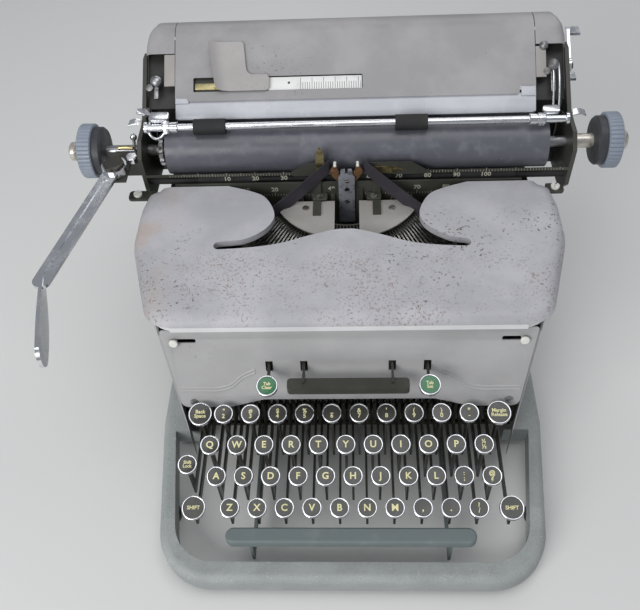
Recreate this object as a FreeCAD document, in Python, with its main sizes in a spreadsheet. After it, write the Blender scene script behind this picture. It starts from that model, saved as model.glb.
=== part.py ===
import FreeCAD, Part
import Sketcher
import math
import os
import re
from types import SimpleNamespace

# Standard office typewriter with an 11 inch carriage.
# Millimetres.  X to the typist's right, Y to the back, Z up; the table is Z = 0
# and X = 0 is the machine's plane of symmetry.

SIZES = {
    # ---- base casting and feet
    "front_y": -178.0,
    "rear_y": 143.0,
    "base_half_front": 136.0,
    "base_half_rear": 150.0,
    "base_widen_y": -50.0,
    "rail_front": 14.0,
    "rail_side": 11.0,
    "rail_rear_side": 30.0,
    "rail_rear": 13.0,
    "rail_bottom": 8.0,
    "rail_height": 17.0,
    "rail_round": 6.0,
    "corner_radius": 42.0,
    "foot_radius": 7.5,
    "foot_inset_front": 5.5,
    "foot_inset_rear": 14.0,
    "foot_taper": 1.0,
    "foot_splay": 6.5,
    "foot_front_y": -119.0,
    "foot_rear_y": 118.0,
    # ---- inner frame
    "frame_plate": 6.0,
    "frame_inner": 122.0,
    "frame_front_y": -50.0,
    "ledge_y": -58.0,
    "ear_thick": 3.2,
    "frame_back_y": 130.0,
    "frame_top": 140.0,
    "bar_depth": 8.0,
    "rest_reach": 60.0,
    "rest_tall": 6.0,
    "rest_gap": 0.8,
    "lug_drop": 2.3,
    "rest_back": -12.0,
    "drum_x": -88.0,
    "drum_z": 92.0,
    "drum_wide": 7.0,
    "drum_stand": 1.5,
    "drum_radius": 25.0,
    "space_shaft": 2.5,
    "space_lug_x": 115.0,
    "spool_x": 103.0,
    "spool_y": 25.0,
    "spool_shelf": 8.0,
    "spool_pin": 3.0,
    "spool_tall": 20.0,
    "spool_radius": 23.0,
    "spool_full": 17.0,
    "comb_thick": 3.0,
    "comb_low_z": 25.0,
    "comb_top_z": 56.0,
    "tab_shaft": 2.0,
    "tab_shaft_y": -54.0,
    "tab_shaft_z": 127.0,
    # ---- outer panels
    "sheet": 1.6,
    "panel_half": 121.0,
    "panel_lobe_half": 119.0,
    "panel_top_z": 158.0,
    "panel_top_y": -60.0,
    "panel_tall": 72.0,
    "panel_lean": 11.7,
    "arch_half": 74.0,
    "arch_top_half": 62.0,
    "arch_rise": 35.0,
    "lobe_half_inner": 74.0,
    "slot_wide": 20.0,
    "slot_tall": 5.0,
    "slot_left_x": -110.0,
    "slot_right_x": 110.0,
    "slot_drop": 9.5,
    "slide_lap": 3.0,
    "slide_thick": 1.5,
    "tongue_off": 4.5,
    "tongue_wide": 3.0,
    "tongue_thick": 2.0,
    "tongue_reach": 8.5,
    "tip_wide": 5.0,
    "tip_deep": 3.5,
    "tip_tall": 3.2,
    "notch_wide": 5.0,
    "notch_tall": 9.0,
    "tab_arm_x": 30.0,
    "side_waist_front": 131.0,
    "side_waist_rear": 142.0,
    "side_front_y": -48.0,
    "side_rear_y": 10.0,
    "side_round": 12.0,
    "side_front_reach": 20.0,
    "clear_long": 200.0,
    "rear_panel_z": 139.0,
    # ---- top cover
    "cover_bottom_z": 153.0,
    "cover_top_z": 175.5,
    "cover_lip_z": 160.0,
    "cover_front_y": -64.5,
    "cover_back_y": 62.0,
    "cover_crease_y": -15.0,
    "cover_half_front": 131.0,
    "cover_half": 152.0,
    "cover_half_back": 148.0,
    "cover_wide_y": 8.0,
    "cover_narrow_y": 40.0,
    "cover_corner": 20.0,
    "cover_sweep": 60.0,
    "cover_back_corner": 8.0,
    "cover_round": 10.0,
    "cover_lip_round": 6.0,
    "cover_wall": 2.0,
    "basket_half_back": 79.0,
    "basket_lobe_x": 53.0,
    "basket_lobe_y": 27.0,
    "basket_horn_x": 89.0,
    "basket_horn_y": 1.0,
    "basket_horn_r": 3.6,
    "hump_y": 18.0,
    # ---- type basket
    "strike_y": 65.0,
    "pivot_radius": 40.0,
    "pivot_z": 130.0,
    "typebar_count": 42,
    "fan_angle": 80.0,
    "bar_thick": 1.2,
    "bar_tall": 5.0,
    "bar_length": 70.0,
    "bar_slope": 8.0,
    "slug_wide": 3.2,
    "slug_long": 8.0,
    "slug_tall": 11.0,
    "segment_outer": 49.0,
    "segment_inner": 33.0,
    "segment_drop": 8.0,
    "segment_carrier_y": 66.0,
    "carrier_deep": 8.0,
    "carrier_tall": 12.0,
    "lobe_round": 12.0,
    "arch_round": 6.0,
    "slot_gap": 0.35,
    "slot_floor_gap": 1.6,
    "segment_cover_z": 163.0,
    "segment_cover_thick": 1.6,
    "segment_cover_inner": 13.0,
    "guide_half": 12.0,
    "guide_y": 61.9,
    "guide_top_z": 170.0,
    "vibrator_half": 8.5,
    "vibrator_top_z": 191.0,
    "fork_half": 13.2,
    "ribbon_y": 64.8,
    "ribbon_half": 13.7,
    "ribbon_wide": 12.7,
    "ribbon_thick": 0.3,
    "ribbon_low_x": 74.0,
    "ribbon_low_y": 12.0,
    "ribbon_low_z": 152.0,
    "scale_half": 128.0,
    "scale_thick": 1.6,
    "bracket_x": 19.0,
    "bracket_wide": 6.0,
    "card_low_z": 181.0,
    "rail_half": 128.0,
    "front_rail_y": 65.0,
    "front_scale_top": 179.5,
    "card_left": 42.0,
    "card_right": 60.0,
    "finger_long": 22.0,
    "finger_x": 19.0,
    "finger_z": 186.0,
    "stem_deep": 5.0,
    "comb_gap": 0.4,
    # ---- keyboard
    "key_pitch": 19.05,
    "key_radius": 6.8,
    "key_thick": 3.2,
    "key_dish": 0.5,
    "key_rim": 1.1,
    "key_tilt": 15.0,
    "row_step_y": 18.23,
    "row_step_z": 11.33,
    "first_row_y": -140.1,
    "first_row_z": 61.4,
    "row_offset": 2.4,
    "lever_thick": 1.6,
    "lever_tall": 6.0,
    "lever_z": 43.0,
    "fulcrum_y": 100.0,
    "running_gap": 0.3,
    "wide_key_radius": 8.3,
    "back_space_x": -104.7,
    "margin_release_x": 103.8,
    "shift_left_x": -108.5,
    "shift_right_x": 110.3,
    "shift_lock_x": -112.8,
    "shift_lock_y": -116.0,
    "shift_lock_z": 79.0,
    "space_bar_half": 86.5,
    "space_bar_y": -154.7,
    "space_bar_deep": 11.5,
    "space_bar_top": 50.0,
    "space_bar_tall": 7.0,
    "space_arm_x": 70.0,
    "space_arm_z": 16.0,
    "space_pivot_y": -30.0,
    "tab_bar_half": 41.0,
    "tab_bar_y": -82.5,
    "tab_bar_deep": 9.0,
    "tab_bar_top": 128.0,
    "tab_key_x": 53.8,
    "tab_key_y": -87.0,
    "tab_key_z": 133.0,
    "tab_key_radius": 7.2,
    # ---- carriage
    "platen_y": 89.6,
    "platen_z": 188.6,
    "platen_radius": 18.3,
    "platen_core": 14.5,
    "platen_left": -133.0,
    "platen_right": 146.0,
    "shaft_radius": 4.0,
    "fit_gap": 0.05,
    "knob_radius": 20.6,
    "knob_wide": 11.0,
    "knob_left_x": -192.4,
    "knob_right_x": 188.9,
    "knob_ribs": 24,
    "knob_rib_depth": 1.2,
    "button_radius": 6.2,
    "button_long": 6.0,
    "end_plate": 3.0,
    "end_left_x": -152.0,
    "end_right_x": 161.0,
    "end_front_y": 67.0,
    "end_bottom_z": 152.0,
    "channel_front_y": 112.0,
    "channel_back_y": 126.0,
    "channel_bottom_z": 150.0,
    "channel_tall": 10.0,
    "feed_radius": 5.0,
    "feed_shaft": 2.5,
    "feed_angle": 35.0,
    "bail_y": 84.4,
    "bail_z": 212.7,
    "bail_radius": 2.65,
    "bail_pivot_y": 112.0,
    "bail_pivot_z": 197.0,
    "bail_roll_radius": 5.7,
    "bail_roll_long": 23.0,
    "bail_roll_left": -98.5,
    "bail_roll_right": 47.0,
    "table_left": -126.0,
    "table_right": 138.0,
    "table_low_y": 103.0,
    "table_low_z": 214.0,
    "table_seam_y": 117.0,
    "table_seam_z": 225.5,
    "table_top_y": 152.0,
    "table_top_z": 250.0,
    "table_back_y": 178.0,
    "table_back_z": 228.0,
        "scale_low_z": 180.0,
    "scale_tall": 8.0,
    "bail_left": -146.0,
    "bail_right": 158.0,
    "bail_stud": 2.5,
    "ratchet_radius": 12.0,
    "ratchet_teeth": 16,
    "guide_left_u": -101.0,
    "guide_wide": 46.0,
    "guide_step": 25.0,
    "guide_low_v": 2.0,
    "guide_mid_v": 14.0,
    "guide_high_v": 38.0,
    "release_y": 112.0,
    "release_z": 172.0,
    "release_top_y": 84.0,
    "release_top_z": 220.0,
    "margin_y": 135.0,
    "margin_z": 222.0,
    "paper_release_y": 120.0,
    "paper_release_z": 196.0,
    "side_arm": 27.0,
    "housing_left": -176.0,
    "housing_low_z": 183.0,
    "housing_top_z": 194.7,
    "lever_pivot_x": -167.0,
    "lever_pivot_y": 58.0,
    "lever_bend_x": -193.5,
    "lever_bend_y": -50.0,
    "lever_tip_x": -182.0,
    "lever_tip_y": -109.0,
    "arm_wide": 11.6,
    "arm_thick": 2.5,
    "arm_z": 197.0,
    "blade_low_z": 181.0,
}

dims = SimpleNamespace(**SIZES)
doc = FreeCAD.newDocument("typewriter")
sheet = doc.addObject("Spreadsheet::Sheet", "dimensions")
for row, (alias, value) in enumerate(SIZES.items(), start=1):
    sheet.set(f"A{row}", alias)
    sheet.set(f"B{row}", str(value))
    sheet.setAlias(f"B{row}", alias)
doc.recompute()

Vec = FreeCAD.Vector
X_AXIS, Y_AXIS, Z_AXIS = Vec(1, 0, 0), Vec(0, 1, 0), Vec(0, 0, 1)
sub_parts = []


# ---------------------------------------------------------------- helpers
def cells(text):
    """The expression text with every size name pointed at its sheet cell."""
    def cell(match):
        word = match.group(0)
        return f"dimensions.{word}" if word in SIZES else word
    return re.sub(r"[a-z_]+", cell, str(text))


def bind(thing, **sizes):
    """Bind properties; a double underscore in a name stands for a dot."""
    for name, text in sizes.items():
        thing.setExpression(name.replace("__", "."), cells(text))
    return thing


def put(thing, x=0, y=0, z=0):
    return bind(thing, Placement__Base__x=x, Placement__Base__y=y, Placement__Base__z=z)


def turn(thing, axis, degrees):
    """Turn a placed object about an axis through its own origin, by a bound angle."""
    thing.Placement = FreeCAD.Placement(thing.Placement.Base, FreeCAD.Rotation(axis, 1))
    return bind(thing, Placement__Rotation__Angle=degrees)


def block(x0, x1, y0, y1, z0, z1):
    """A box between two corners, each side an expression."""
    box = doc.addObject("Part::Box", "block")
    bind(box, Length=f"({x1}) - ({x0})", Width=f"({y1}) - ({y0})", Height=f"({z1}) - ({z0})")
    return put(box, x0, y0, z0)


ROUND_TURN = {"x": (Y_AXIS, 90), "y": (X_AXIS, -90), "z": (Z_AXIS, 0)}


def rod(along, start, long, radius, first, second):
    """A cylinder along x, y or z; first and second place its axis."""
    cylinder = doc.addObject("Part::Cylinder", "rod")
    bind(cylinder, Radius=radius, Height=long)
    axis, degrees = ROUND_TURN[along]
    cylinder.Placement = FreeCAD.Placement(Vec(), FreeCAD.Rotation(axis, degrees))
    places = {"x": (start, first, second), "y": (first, start, second), "z": (first, second, start)}
    return put(cylinder, *places[along])


def cone(along, start, long, radius_first, radius_last, first, second):
    tapered = doc.addObject("Part::Cone", "cone")
    bind(tapered, Radius1=radius_first, Radius2=radius_last, Height=long)
    axis, degrees = ROUND_TURN[along]
    tapered.Placement = FreeCAD.Placement(Vec(), FreeCAD.Rotation(axis, degrees))
    places = {"x": (start, first, second), "y": (first, start, second), "z": (first, second, start)}
    return put(tapered, *places[along])


def joined(*pieces):
    whole = doc.addObject("Part::MultiFuse", "joined")
    whole.Shapes = list(pieces)
    whole.Refine = True
    return whole


def less(base, *tools):
    for tool in tools:
        result = doc.addObject("Part::Cut", "less")
        result.Base = base
        result.Tool = tool
        base = result
    return base


def inside(first, second):
    result = doc.addObject("Part::Common", "inside")
    result.Base = first
    result.Tool = second
    return result


def group(*pieces):
    """Several separate solids of one kind, kept apart in one sub-part."""
    together = doc.addObject("Part::Compound", "group")
    together.Links = list(pieces)
    return together


def solid(shape):
    """A solid whose form is made by Part's own functions."""
    feature = doc.addObject("Part::Feature", "form")
    feature.Shape = shape
    return feature


def sketch_on(body, role, points):
    """A closed outline on an origin plane, every corner bound to the sheet."""
    drawing = body.newObject("Sketcher::SketchObject", "outline")
    plane = [item for item in body.Origin.OriginFeatures if item.Role == role][0]
    drawing.AttachmentSupport = [(plane, "")]
    drawing.MapMode = "FlatFace"
    count = len(points)
    guess = [Vec(worth(x), worth(y), 0) for x, y in points]
    for index in range(count):
        drawing.addGeometry(Part.LineSegment(guess[index], guess[(index + 1) % count]), False)
    for index in range(count):
        following = (index + 1) % count
        drawing.addConstraint(Sketcher.Constraint("Coincident", index, 2, following, 1))
    for index, (x, y) in enumerate(points):
        for kind, text, value in (("DistanceX", x, guess[index].x), ("DistanceY", y, guess[index].y)):
            number = drawing.addConstraint(Sketcher.Constraint(kind, -1, 1, index, 1, value))
            drawing.setExpression(f"Constraints[{number}]", cells(text))
    return drawing


def worth(text):
    """The present value of an expression."""
    return float(sheet.evalExpression(cells(text)))


def padded(role, points, long, both=False, backwards=False):
    """A PartDesign body: one outline on an origin plane, padded."""
    body = doc.addObject("PartDesign::Body", "body")
    drawing = sketch_on(body, role, points)
    pad = body.newObject("PartDesign::Pad", "pad")
    pad.Profile = drawing
    pad.Midplane = both
    pad.Reversed = backwards
    bind(pad, Length=long)
    doc.recompute()
    return body


def rounded(body, radius, wanted):
    """Fillet the body's edges that the test picks out."""
    tip = body.Tip
    names = [f"Edge{number}" for number, edge in enumerate(tip.Shape.Edges, start=1) if wanted(edge)]
    fillet = body.newObject("PartDesign::Fillet", "fillet")
    fillet.Base = (tip, names)
    bind(fillet, Radius=radius)
    doc.recompute()
    return body


def upright(edge):
    first, last = edge.Vertexes[0].Point, edge.Vertexes[-1].Point
    return math.hypot(first.x - last.x, first.y - last.y) < 1e-6 and abs(first.z - last.z) > 1e-6


def sub_part(thing, label):
    """Name a finished sub-part; its label is its file's name."""
    thing.Label = label
    sub_parts.append(thing)
    return thing


# ---------------------------------------------------------------- base
def base_outline(inset_front, inset_front_side, inset_rear_side, inset_rear):
    """The ring's plan: narrower at the keyboard, full width behind it."""
    front = f"base_half_front - ({inset_front_side})"
    rear = f"base_half_rear - ({inset_rear_side})"
    return [
        (f"-({front})", f"front_y + {inset_front}"), (front, f"front_y + {inset_front}"),
        (rear, "base_widen_y"), (rear, f"rear_y - ({inset_rear})"),
        (f"-({rear})", f"rear_y - ({inset_rear})"), (f"-({rear})", "base_widen_y"),
    ]


def make_base_frame():
    """One open casting: rounded front rail, side rails and rear rail."""
    body = padded("XY_Plane", base_outline(0, 0, 0, 0), "rail_height")
    front = lambda edge: upright(edge) and edge.Vertexes[0].Y < dims.front_y + 1
    rounded(body, "corner_radius", front)
    rounded(body, "rail_round", lambda edge: edge.CenterOfMass.z > dims.rail_height - 0.01)
    front, middle = "base_half_front - rail_side", "base_half_rear - rail_side"
    rear = "base_half_rear - rail_rear_side"
    right = [(front, "front_y + rail_front"), (middle, "ledge_y"), (rear, "ledge_y"),
             (rear, "rear_y - rail_rear")]
    well = padded("XY_Plane", right + [(f"-({x})", y) for x, y in reversed(right)], "rail_height + 2")
    inner = dims.front_y + dims.rail_front
    rounded(well, "corner_radius - rail_side", lambda edge: upright(edge)
            and abs(edge.Vertexes[0].Y - inner) < 0.1)
    put(body, z="rail_bottom")
    put(well, z="rail_bottom - 1")
    return sub_part(less(body, well), "base_frame")


def make_rubber_feet():
    feet = []
    for side in (-1, 1):
        for place_y in ("foot_front_y", "foot_rear_y"):
            rear = place_y == "foot_rear_y"
            reach = "base_half_rear - foot_inset_rear" if rear \
                else "base_half_front + foot_splay - foot_inset_front"
            feet.append(cone("z", 0, "rail_bottom", "foot_radius - foot_taper", "foot_radius",
                             f"{side} * ({reach})", place_y))
    return sub_part(group(*feet), "rubber_feet")


def make_inner_frame():
    """Two side castings on the base rails, the cross bars and the type rest."""
    pieces = []
    for side in (-1, 1):
        low = "frame_inner" if side > 0 else "-(frame_inner + frame_plate)"
        plate = block(low, f"{low} + frame_plate", "frame_front_y", "frame_back_y",
                      "rail_bottom + rail_height", "frame_top")
        window = block(f"{low} - 1", f"{low} + frame_plate + 1", "frame_front_y + 30",
                       "frame_back_y - 34", "lever_z + 22", "frame_top - 32")
        pieces.append(less(plate, window))
    pieces.append(block("-frame_inner", "frame_inner", "fulcrum_y", "fulcrum_y + bar_depth",
                        "lever_z - bar_depth", "lever_z + bar_depth"))
    pieces.append(block("-frame_inner", "frame_inner", "frame_back_y - bar_depth", "frame_back_y",
                        "drum_z - bar_depth", "drum_z + bar_depth"))
    pieces.append(rod("y", "frame_back_y", "drum_wide + drum_stand + 1", "shaft_radius", "drum_x", "drum_z"))
    pieces.append(rod("x", "-space_lug_x", "2 * space_lug_x", "space_shaft", "space_pivot_y", "space_arm_z"))
    pieces.append(rod("x", "-frame_inner", "2 * frame_inner", "tab_shaft", "tab_shaft_y", "tab_shaft_z"))
    ledge = "(base_half_rear - rail_rear_side)"
    for side in (-1, 1):
        low = "space_lug_x" if side > 0 else f"-{ledge}"
        pieces.append(block(low, f"{low} + {ledge} - space_lug_x", "space_pivot_y - 6", "space_pivot_y + 6",
                            "space_arm_z - 6", "rail_bottom + rail_height + 5"))
        low = "space_lug_x" if side > 0 else "-frame_inner"
        pieces.append(block(low, f"{low} + frame_inner - space_lug_x", "space_pivot_y - 6",
                            "space_pivot_y + 6", "rail_bottom + rail_height", "rail_bottom + rail_height + 5"))
        low = "frame_inner" if side > 0 else "-frame_inner - ear_thick"
        pieces.append(block(low, f"{low} + ear_thick", "tab_shaft_y - 3.5", "frame_front_y",
                            "tab_shaft_z - 5", "tab_shaft_z + 5"))
    for side in (-1, 1):
        low = "spool_x - spool_shelf" if side > 0 else "-frame_inner - frame_plate"
        pieces.append(block(low, f"{low} + frame_inner + frame_plate - spool_x + spool_shelf",
                            "spool_y - spool_shelf", "spool_y + spool_shelf", "frame_top", "frame_top + 2"))
        pieces.append(rod("z", "frame_top + 1", "spool_tall + 4", "spool_pin", f"{side} * spool_x", "spool_y"))
    pieces.append(type_rest_band())
    return sub_part(joined(*pieces), "inner_frame")


def type_rest_band():
    """A half ring of padded channel on which the resting typebars lie."""
    radius = dims.pivot_radius + dims.rest_reach
    top = dims.pivot_z - dims.rest_reach * math.tan(math.radians(dims.bar_slope))
    top -= dims.bar_tall / 2 / math.cos(math.radians(dims.bar_slope)) + dims.rest_gap
    outer = Part.makeCylinder(radius + 3, dims.rest_tall)
    inner = Part.makeCylinder(radius - 3, dims.rest_tall)
    ring = outer.cut(inner)
    front = Part.makeBox(400, 200, dims.rest_tall, Vec(-200, -200 + dims.rest_back, 0))
    ring = ring.common(front)
    lug = dims.frame_inner - radius + 3.5
    for side in (-1, 1):
        start = radius - 3 if side > 0 else -dims.frame_inner - 0.5
        ring = ring.fuse(Part.makeBox(lug, 10, dims.rest_tall - dims.lug_drop, Vec(start, dims.rest_back - 10, 0)))
    ring.translate(Vec(0, dims.strike_y, top - dims.rest_tall))
    return solid(ring)


def ahead_of_panel():
    """Everything in front of the leaning front panel's back face."""
    ahead = block("-clear_long", "clear_long", 0, "clear_long", 0, "2 * clear_long")
    turn(ahead, X_AXIS, "-panel_lean")
    deep, tall = "clear_long", "1.5 * clear_long"
    return put(ahead, "-clear_long",
               f"panel_top_y + sheet - {deep} * cos(panel_lean) - {tall} * sin(panel_lean)",
               f"panel_top_z + {deep} * sin(panel_lean) - {tall} * cos(panel_lean)")


def make_side_panels():
    """The waisted sides of the housing, open at the bottom onto the rails."""
    shells = []
    for side in (-1, 1):
        outside = [
            (f"{side} * (side_waist_front - side_round)", "panel_top_y - side_front_reach"),
            (f"{side} * side_waist_front", "side_front_y"),
            (f"{side} * side_waist_rear", "side_rear_y"),
            (f"{side} * side_waist_rear", "rear_y - sheet"),
        ]
        within = [
            (f"{side} * (side_waist_rear - sheet)", "rear_y - sheet"),
            (f"{side} * (side_waist_rear - sheet)", "side_rear_y"),
            (f"{side} * (side_waist_front - sheet)", "side_front_y + sheet * 0.3"),
            (f"{side} * (side_waist_front - side_round)", "panel_top_y - side_front_reach + sheet * 1.2"),
        ]
        points = outside + within
        shell = padded("XY_Plane", points, "cover_bottom_z - rail_bottom - rail_height")
        put(shell, z="rail_bottom + rail_height")
        rear_step = block(-200, 200, "cover_back_y", "rear_y + 10", "rear_panel_z", "cover_bottom_z + 10")
        shells.append(less(shell, ahead_of_panel(), rear_step))
    return sub_part(group(*shells), "side_panels")


def make_front_panel():
    """The leaning front plate: two lobes, the arch over the keys, lever slots."""
    low = "-panel_tall"
    outline = [
        ("-panel_half", 0), ("panel_half", 0), ("panel_lobe_half", low), ("lobe_half_inner", low),
        ("lobe_half_inner - 2", "-arch_rise - 14"), ("arch_top_half", "-arch_rise"),
        ("-arch_top_half", "-arch_rise"), ("-(lobe_half_inner - 2)", "-arch_rise - 14"),
        ("-lobe_half_inner", low), ("-panel_lobe_half", low),
    ]
    body = padded("XZ_Plane", outline, "sheet", backwards=True)
    across = lambda edge: abs(edge.Vertexes[0].X - edge.Vertexes[-1].X) < 1e-6 \
        and abs(edge.Vertexes[0].Z - edge.Vertexes[-1].Z) < 1e-6
    deep = -dims.panel_tall + 1
    rounded(body, "lobe_round", lambda edge: across(edge) and edge.Vertexes[0].Z < deep)
    arch = -dims.arch_rise - 15
    rounded(body, "arch_round", lambda edge: across(edge) and arch < edge.Vertexes[0].Z < -1)
    for slot_x in ("slot_left_x", "slot_right_x"):
        hole = sketch_on(body, "XZ_Plane", [
            (f"{slot_x} - slot_wide / 2", "-slot_drop - slot_tall / 2"),
            (f"{slot_x} + slot_wide / 2", "-slot_drop - slot_tall / 2"),
            (f"{slot_x} + slot_wide / 2", "-slot_drop + slot_tall / 2"),
            (f"{slot_x} - slot_wide / 2", "-slot_drop + slot_tall / 2")])
        through(body, hole)
    for notch_x in ("-tab_key_x", "-tab_arm_x", "tab_arm_x", "tab_key_x"):
        hole = sketch_on(body, "XZ_Plane", [
            (f"{notch_x} - notch_wide / 2", "-arch_rise - 1"),
            (f"{notch_x} + notch_wide / 2", "-arch_rise - 1"),
            (f"{notch_x} + notch_wide / 2", "-arch_rise + notch_tall"),
            (f"{notch_x} - notch_wide / 2", "-arch_rise + notch_tall")])
        through(body, hole)
    turn(body, X_AXIS, "-panel_lean")
    put(body, 0, "panel_top_y", "panel_top_z")
    return sub_part(body, "front_panel")


def through(body, drawing):
    """Cut a drawing right through a body, both ways from its plane."""
    pocket = body.newObject("PartDesign::Pocket", "hole")
    pocket.Profile = drawing
    pocket.Type = "ThroughAll"
    pocket.Midplane = True
    doc.recompute()
    return pocket


def cover_block(inset):
    """The hood as a block, smaller all round by an inset."""
    half_front, half = f"cover_half_front - {inset}", f"cover_half - {inset}"
    half_back = f"cover_half_back - {inset}"
    front, back = f"cover_front_y + {inset}", f"cover_back_y - {inset}"
    outline = [
        (f"-({half_front})", front), (half_front, front), (half, "cover_wide_y"),
        (half, "cover_narrow_y"), (half_back, back), (f"-({half_back})", back),
        (f"-({half})", "cover_narrow_y"), (f"-({half})", "cover_wide_y"),
    ]
    body = padded("XY_Plane", outline, f"cover_top_z - cover_bottom_z - {inset}")
    at_y = lambda edge, value: upright(edge) and abs(edge.Vertexes[0].Y - value) < 3
    rounded(body, f"cover_corner - {inset}", lambda edge: at_y(edge, dims.cover_front_y))
    rounded(body, "cover_sweep", lambda edge: at_y(edge, dims.cover_wide_y))
    rounded(body, "cover_corner", lambda edge: at_y(edge, dims.cover_narrow_y))
    rounded(body, "cover_back_corner", lambda edge: at_y(edge, dims.cover_back_y))
    top = "cover_top_z - cover_bottom_z + 5"
    slope = "(cover_top_z - cover_lip_z) / (cover_crease_y - cover_front_y)"
    lowest = f"cover_lip_z - cover_bottom_z - {inset} - 20 * {slope}"
    wedge = sketch_on(body, "YZ_Plane", [
        ("cover_front_y - 20", lowest), ("cover_crease_y", f"cover_top_z - cover_bottom_z - {inset}"),
        ("cover_crease_y", top), ("cover_front_y - 20", top)])
    through(body, wedge)
    high = body.Shape.BoundBox.ZMax
    crease = lambda edge: abs(edge.CenterOfMass.x) < 1 and abs(edge.CenterOfMass.y - dims.cover_crease_y) < 1
    rounded(body, f"cover_round - {inset}", lambda edge: edge.CenterOfMass.z > high - 0.5
            and not upright(edge) and not crease(edge))
    lip = dims.cover_lip_z - dims.cover_bottom_z - 3
    rounded(body, f"cover_lip_round - {inset}", lambda edge: lip < edge.CenterOfMass.z < high - 1
            and not upright(edge) and (edge.CenterOfMass.y < dims.cover_crease_y - 5))
    return put(body, z="cover_bottom_z")


def basket_opening():
    """The butterfly opening over the typebars, between two lobes and the hump."""
    back, horn_r = dims.cover_back_y, dims.basket_horn_r
    horn_x, horn_y = dims.basket_horn_x, dims.basket_horn_y
    half, lobe_x, lobe_y = dims.basket_half_back, dims.basket_lobe_x, dims.basket_lobe_y
    fall = dims.hump_y - horn_y + horn_r

    def spline(points):
        curve = Part.BSplineCurve()
        curve.interpolate([Vec(x, y, 0) for x, y in points])
        return curve.toShape()

    def half_edges(side):
        lobe = [(side * half, back), (side * (lobe_x + 6), (back + lobe_y) / 2 + 3),
                (side * lobe_x, lobe_y), (side * (lobe_x + 9), horn_y + 10.5),
                (side * (lobe_x + 22), horn_y + 5.5), (side * horn_x, horn_y + horn_r)]
        hump = [(side * horn_x, horn_y - horn_r), (side * horn_x * 0.76, horn_y - horn_r + 0.15 * fall),
                (side * horn_x * 0.53, horn_y - horn_r + 0.50 * fall),
                (side * horn_x * 0.29, horn_y - horn_r + 0.87 * fall), (0, dims.hump_y)]
        horn = Part.Arc(Vec(side * horn_x, horn_y + horn_r, 0),
                        Vec(side * (horn_x + horn_r), horn_y, 0),
                        Vec(side * horn_x, horn_y - horn_r, 0)).toShape()
        return [spline(lobe), horn, spline(hump)]

    over = back + 10
    rear = [Part.makeLine(Vec(-half, back, 0), Vec(-half, over, 0)),
            Part.makeLine(Vec(-half, over, 0), Vec(half, over, 0)),
            Part.makeLine(Vec(half, over, 0), Vec(half, back, 0))]
    edges = Part.__sortEdges__(half_edges(-1) + half_edges(1) + rear)
    face = Part.Face(Part.Wire(edges))
    cutter = face.extrude(Vec(0, 0, 60))
    cutter.translate(Vec(0, 0, dims.cover_bottom_z - 10))
    return solid(cutter)


def make_top_cover():
    """The rounded hood with its rear lobes and the raised hump between them."""
    shell = less(cover_block("0"), put(cover_block("cover_wall"), z="cover_bottom_z - 0.001"))
    return sub_part(less(shell, basket_opening()), "top_cover")


def make_rear_panel():
    low = "rail_bottom + rail_height"
    plate = block("-(side_waist_rear - sheet)", "side_waist_rear - sheet", "rear_y - sheet - 1.4",
                  "rear_y - 1.4", low, "rear_panel_z")
    return sub_part(plate, "rear_panel")


# ---------------------------------------------------------------- type basket
def fan_angles():
    step = 2 * dims.fan_angle / (dims.typebar_count - 1)
    return [-dims.fan_angle + step * index for index in range(int(dims.typebar_count))]


def fanned(shape, degrees):
    """A piece drawn towards -Y from the strike axis, swung round that axis."""
    swung = shape.copy()
    swung.rotate(Vec(0, 0, 0), Z_AXIS, degrees)
    swung.translate(Vec(0, dims.strike_y, 0))
    return swung


def make_type_segment():
    """The slotted half ring and the cross casting that carries it."""
    bottom = dims.pivot_z - dims.segment_drop
    tall = dims.segment_cover_z - bottom
    ring = Part.makeCylinder(dims.segment_outer, tall, Vec(0, 0, bottom))
    ring = ring.cut(Part.makeCylinder(dims.segment_inner, tall, Vec(0, 0, bottom)))
    rear = dims.segment_carrier_y - dims.strike_y
    upper_rear = dims.front_rail_y - dims.scale_thick - dims.strike_y - 0.6
    ring = ring.common(Part.makeBox(200, 100 + rear, tall, Vec(-100, -100, bottom)))
    ring = ring.cut(Part.makeBox(200, 100, tall, Vec(-100, upper_rear, bottom + dims.carrier_tall)))
    slot = dims.bar_thick + 2 * dims.slot_gap
    floor = dims.pivot_z - dims.bar_tall / 2 - dims.slot_floor_gap
    cutter = Part.makeBox(slot, 20, tall, Vec(-slot / 2, -dims.pivot_radius - 14, floor))
    cutters = [fanned(cutter, angle) for angle in fan_angles()]
    ring.translate(Vec(0, dims.strike_y, 0))
    ring = ring.cut(Part.makeCompound(cutters))
    wide = 2 * dims.frame_inner
    carrier = Part.makeBox(wide, dims.carrier_deep, dims.carrier_tall,
                           Vec(-dims.frame_inner, dims.segment_carrier_y, bottom))
    return sub_part(solid(ring.fuse(carrier).removeSplitter()), "type_segment")


def typebar():
    """One bar at rest, drawn towards -Y: heel, shank and type slug."""
    thick, tall, long = dims.bar_thick, dims.bar_tall, dims.bar_length
    heel = dims.pivot_radius - 5
    shank = Part.makeBox(thick, long - 4, tall, Vec(-thick / 2, -long, -tall / 2))
    slug = Part.makeBox(dims.slug_wide, dims.slug_long, dims.slug_tall,
                        Vec(-dims.slug_wide / 2, -long - dims.slug_long / 2, -tall / 2))
    bar = shank.fuse(slug)
    bar.rotate(Vec(0, 0, 0), X_AXIS, dims.bar_slope)
    bar.translate(Vec(0, -dims.pivot_radius, dims.pivot_z))
    return bar


def make_typebars():
    bars = [fanned(typebar(), angle) for angle in fan_angles()]
    return sub_part(solid(Part.makeCompound(bars)), "typebars")


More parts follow.
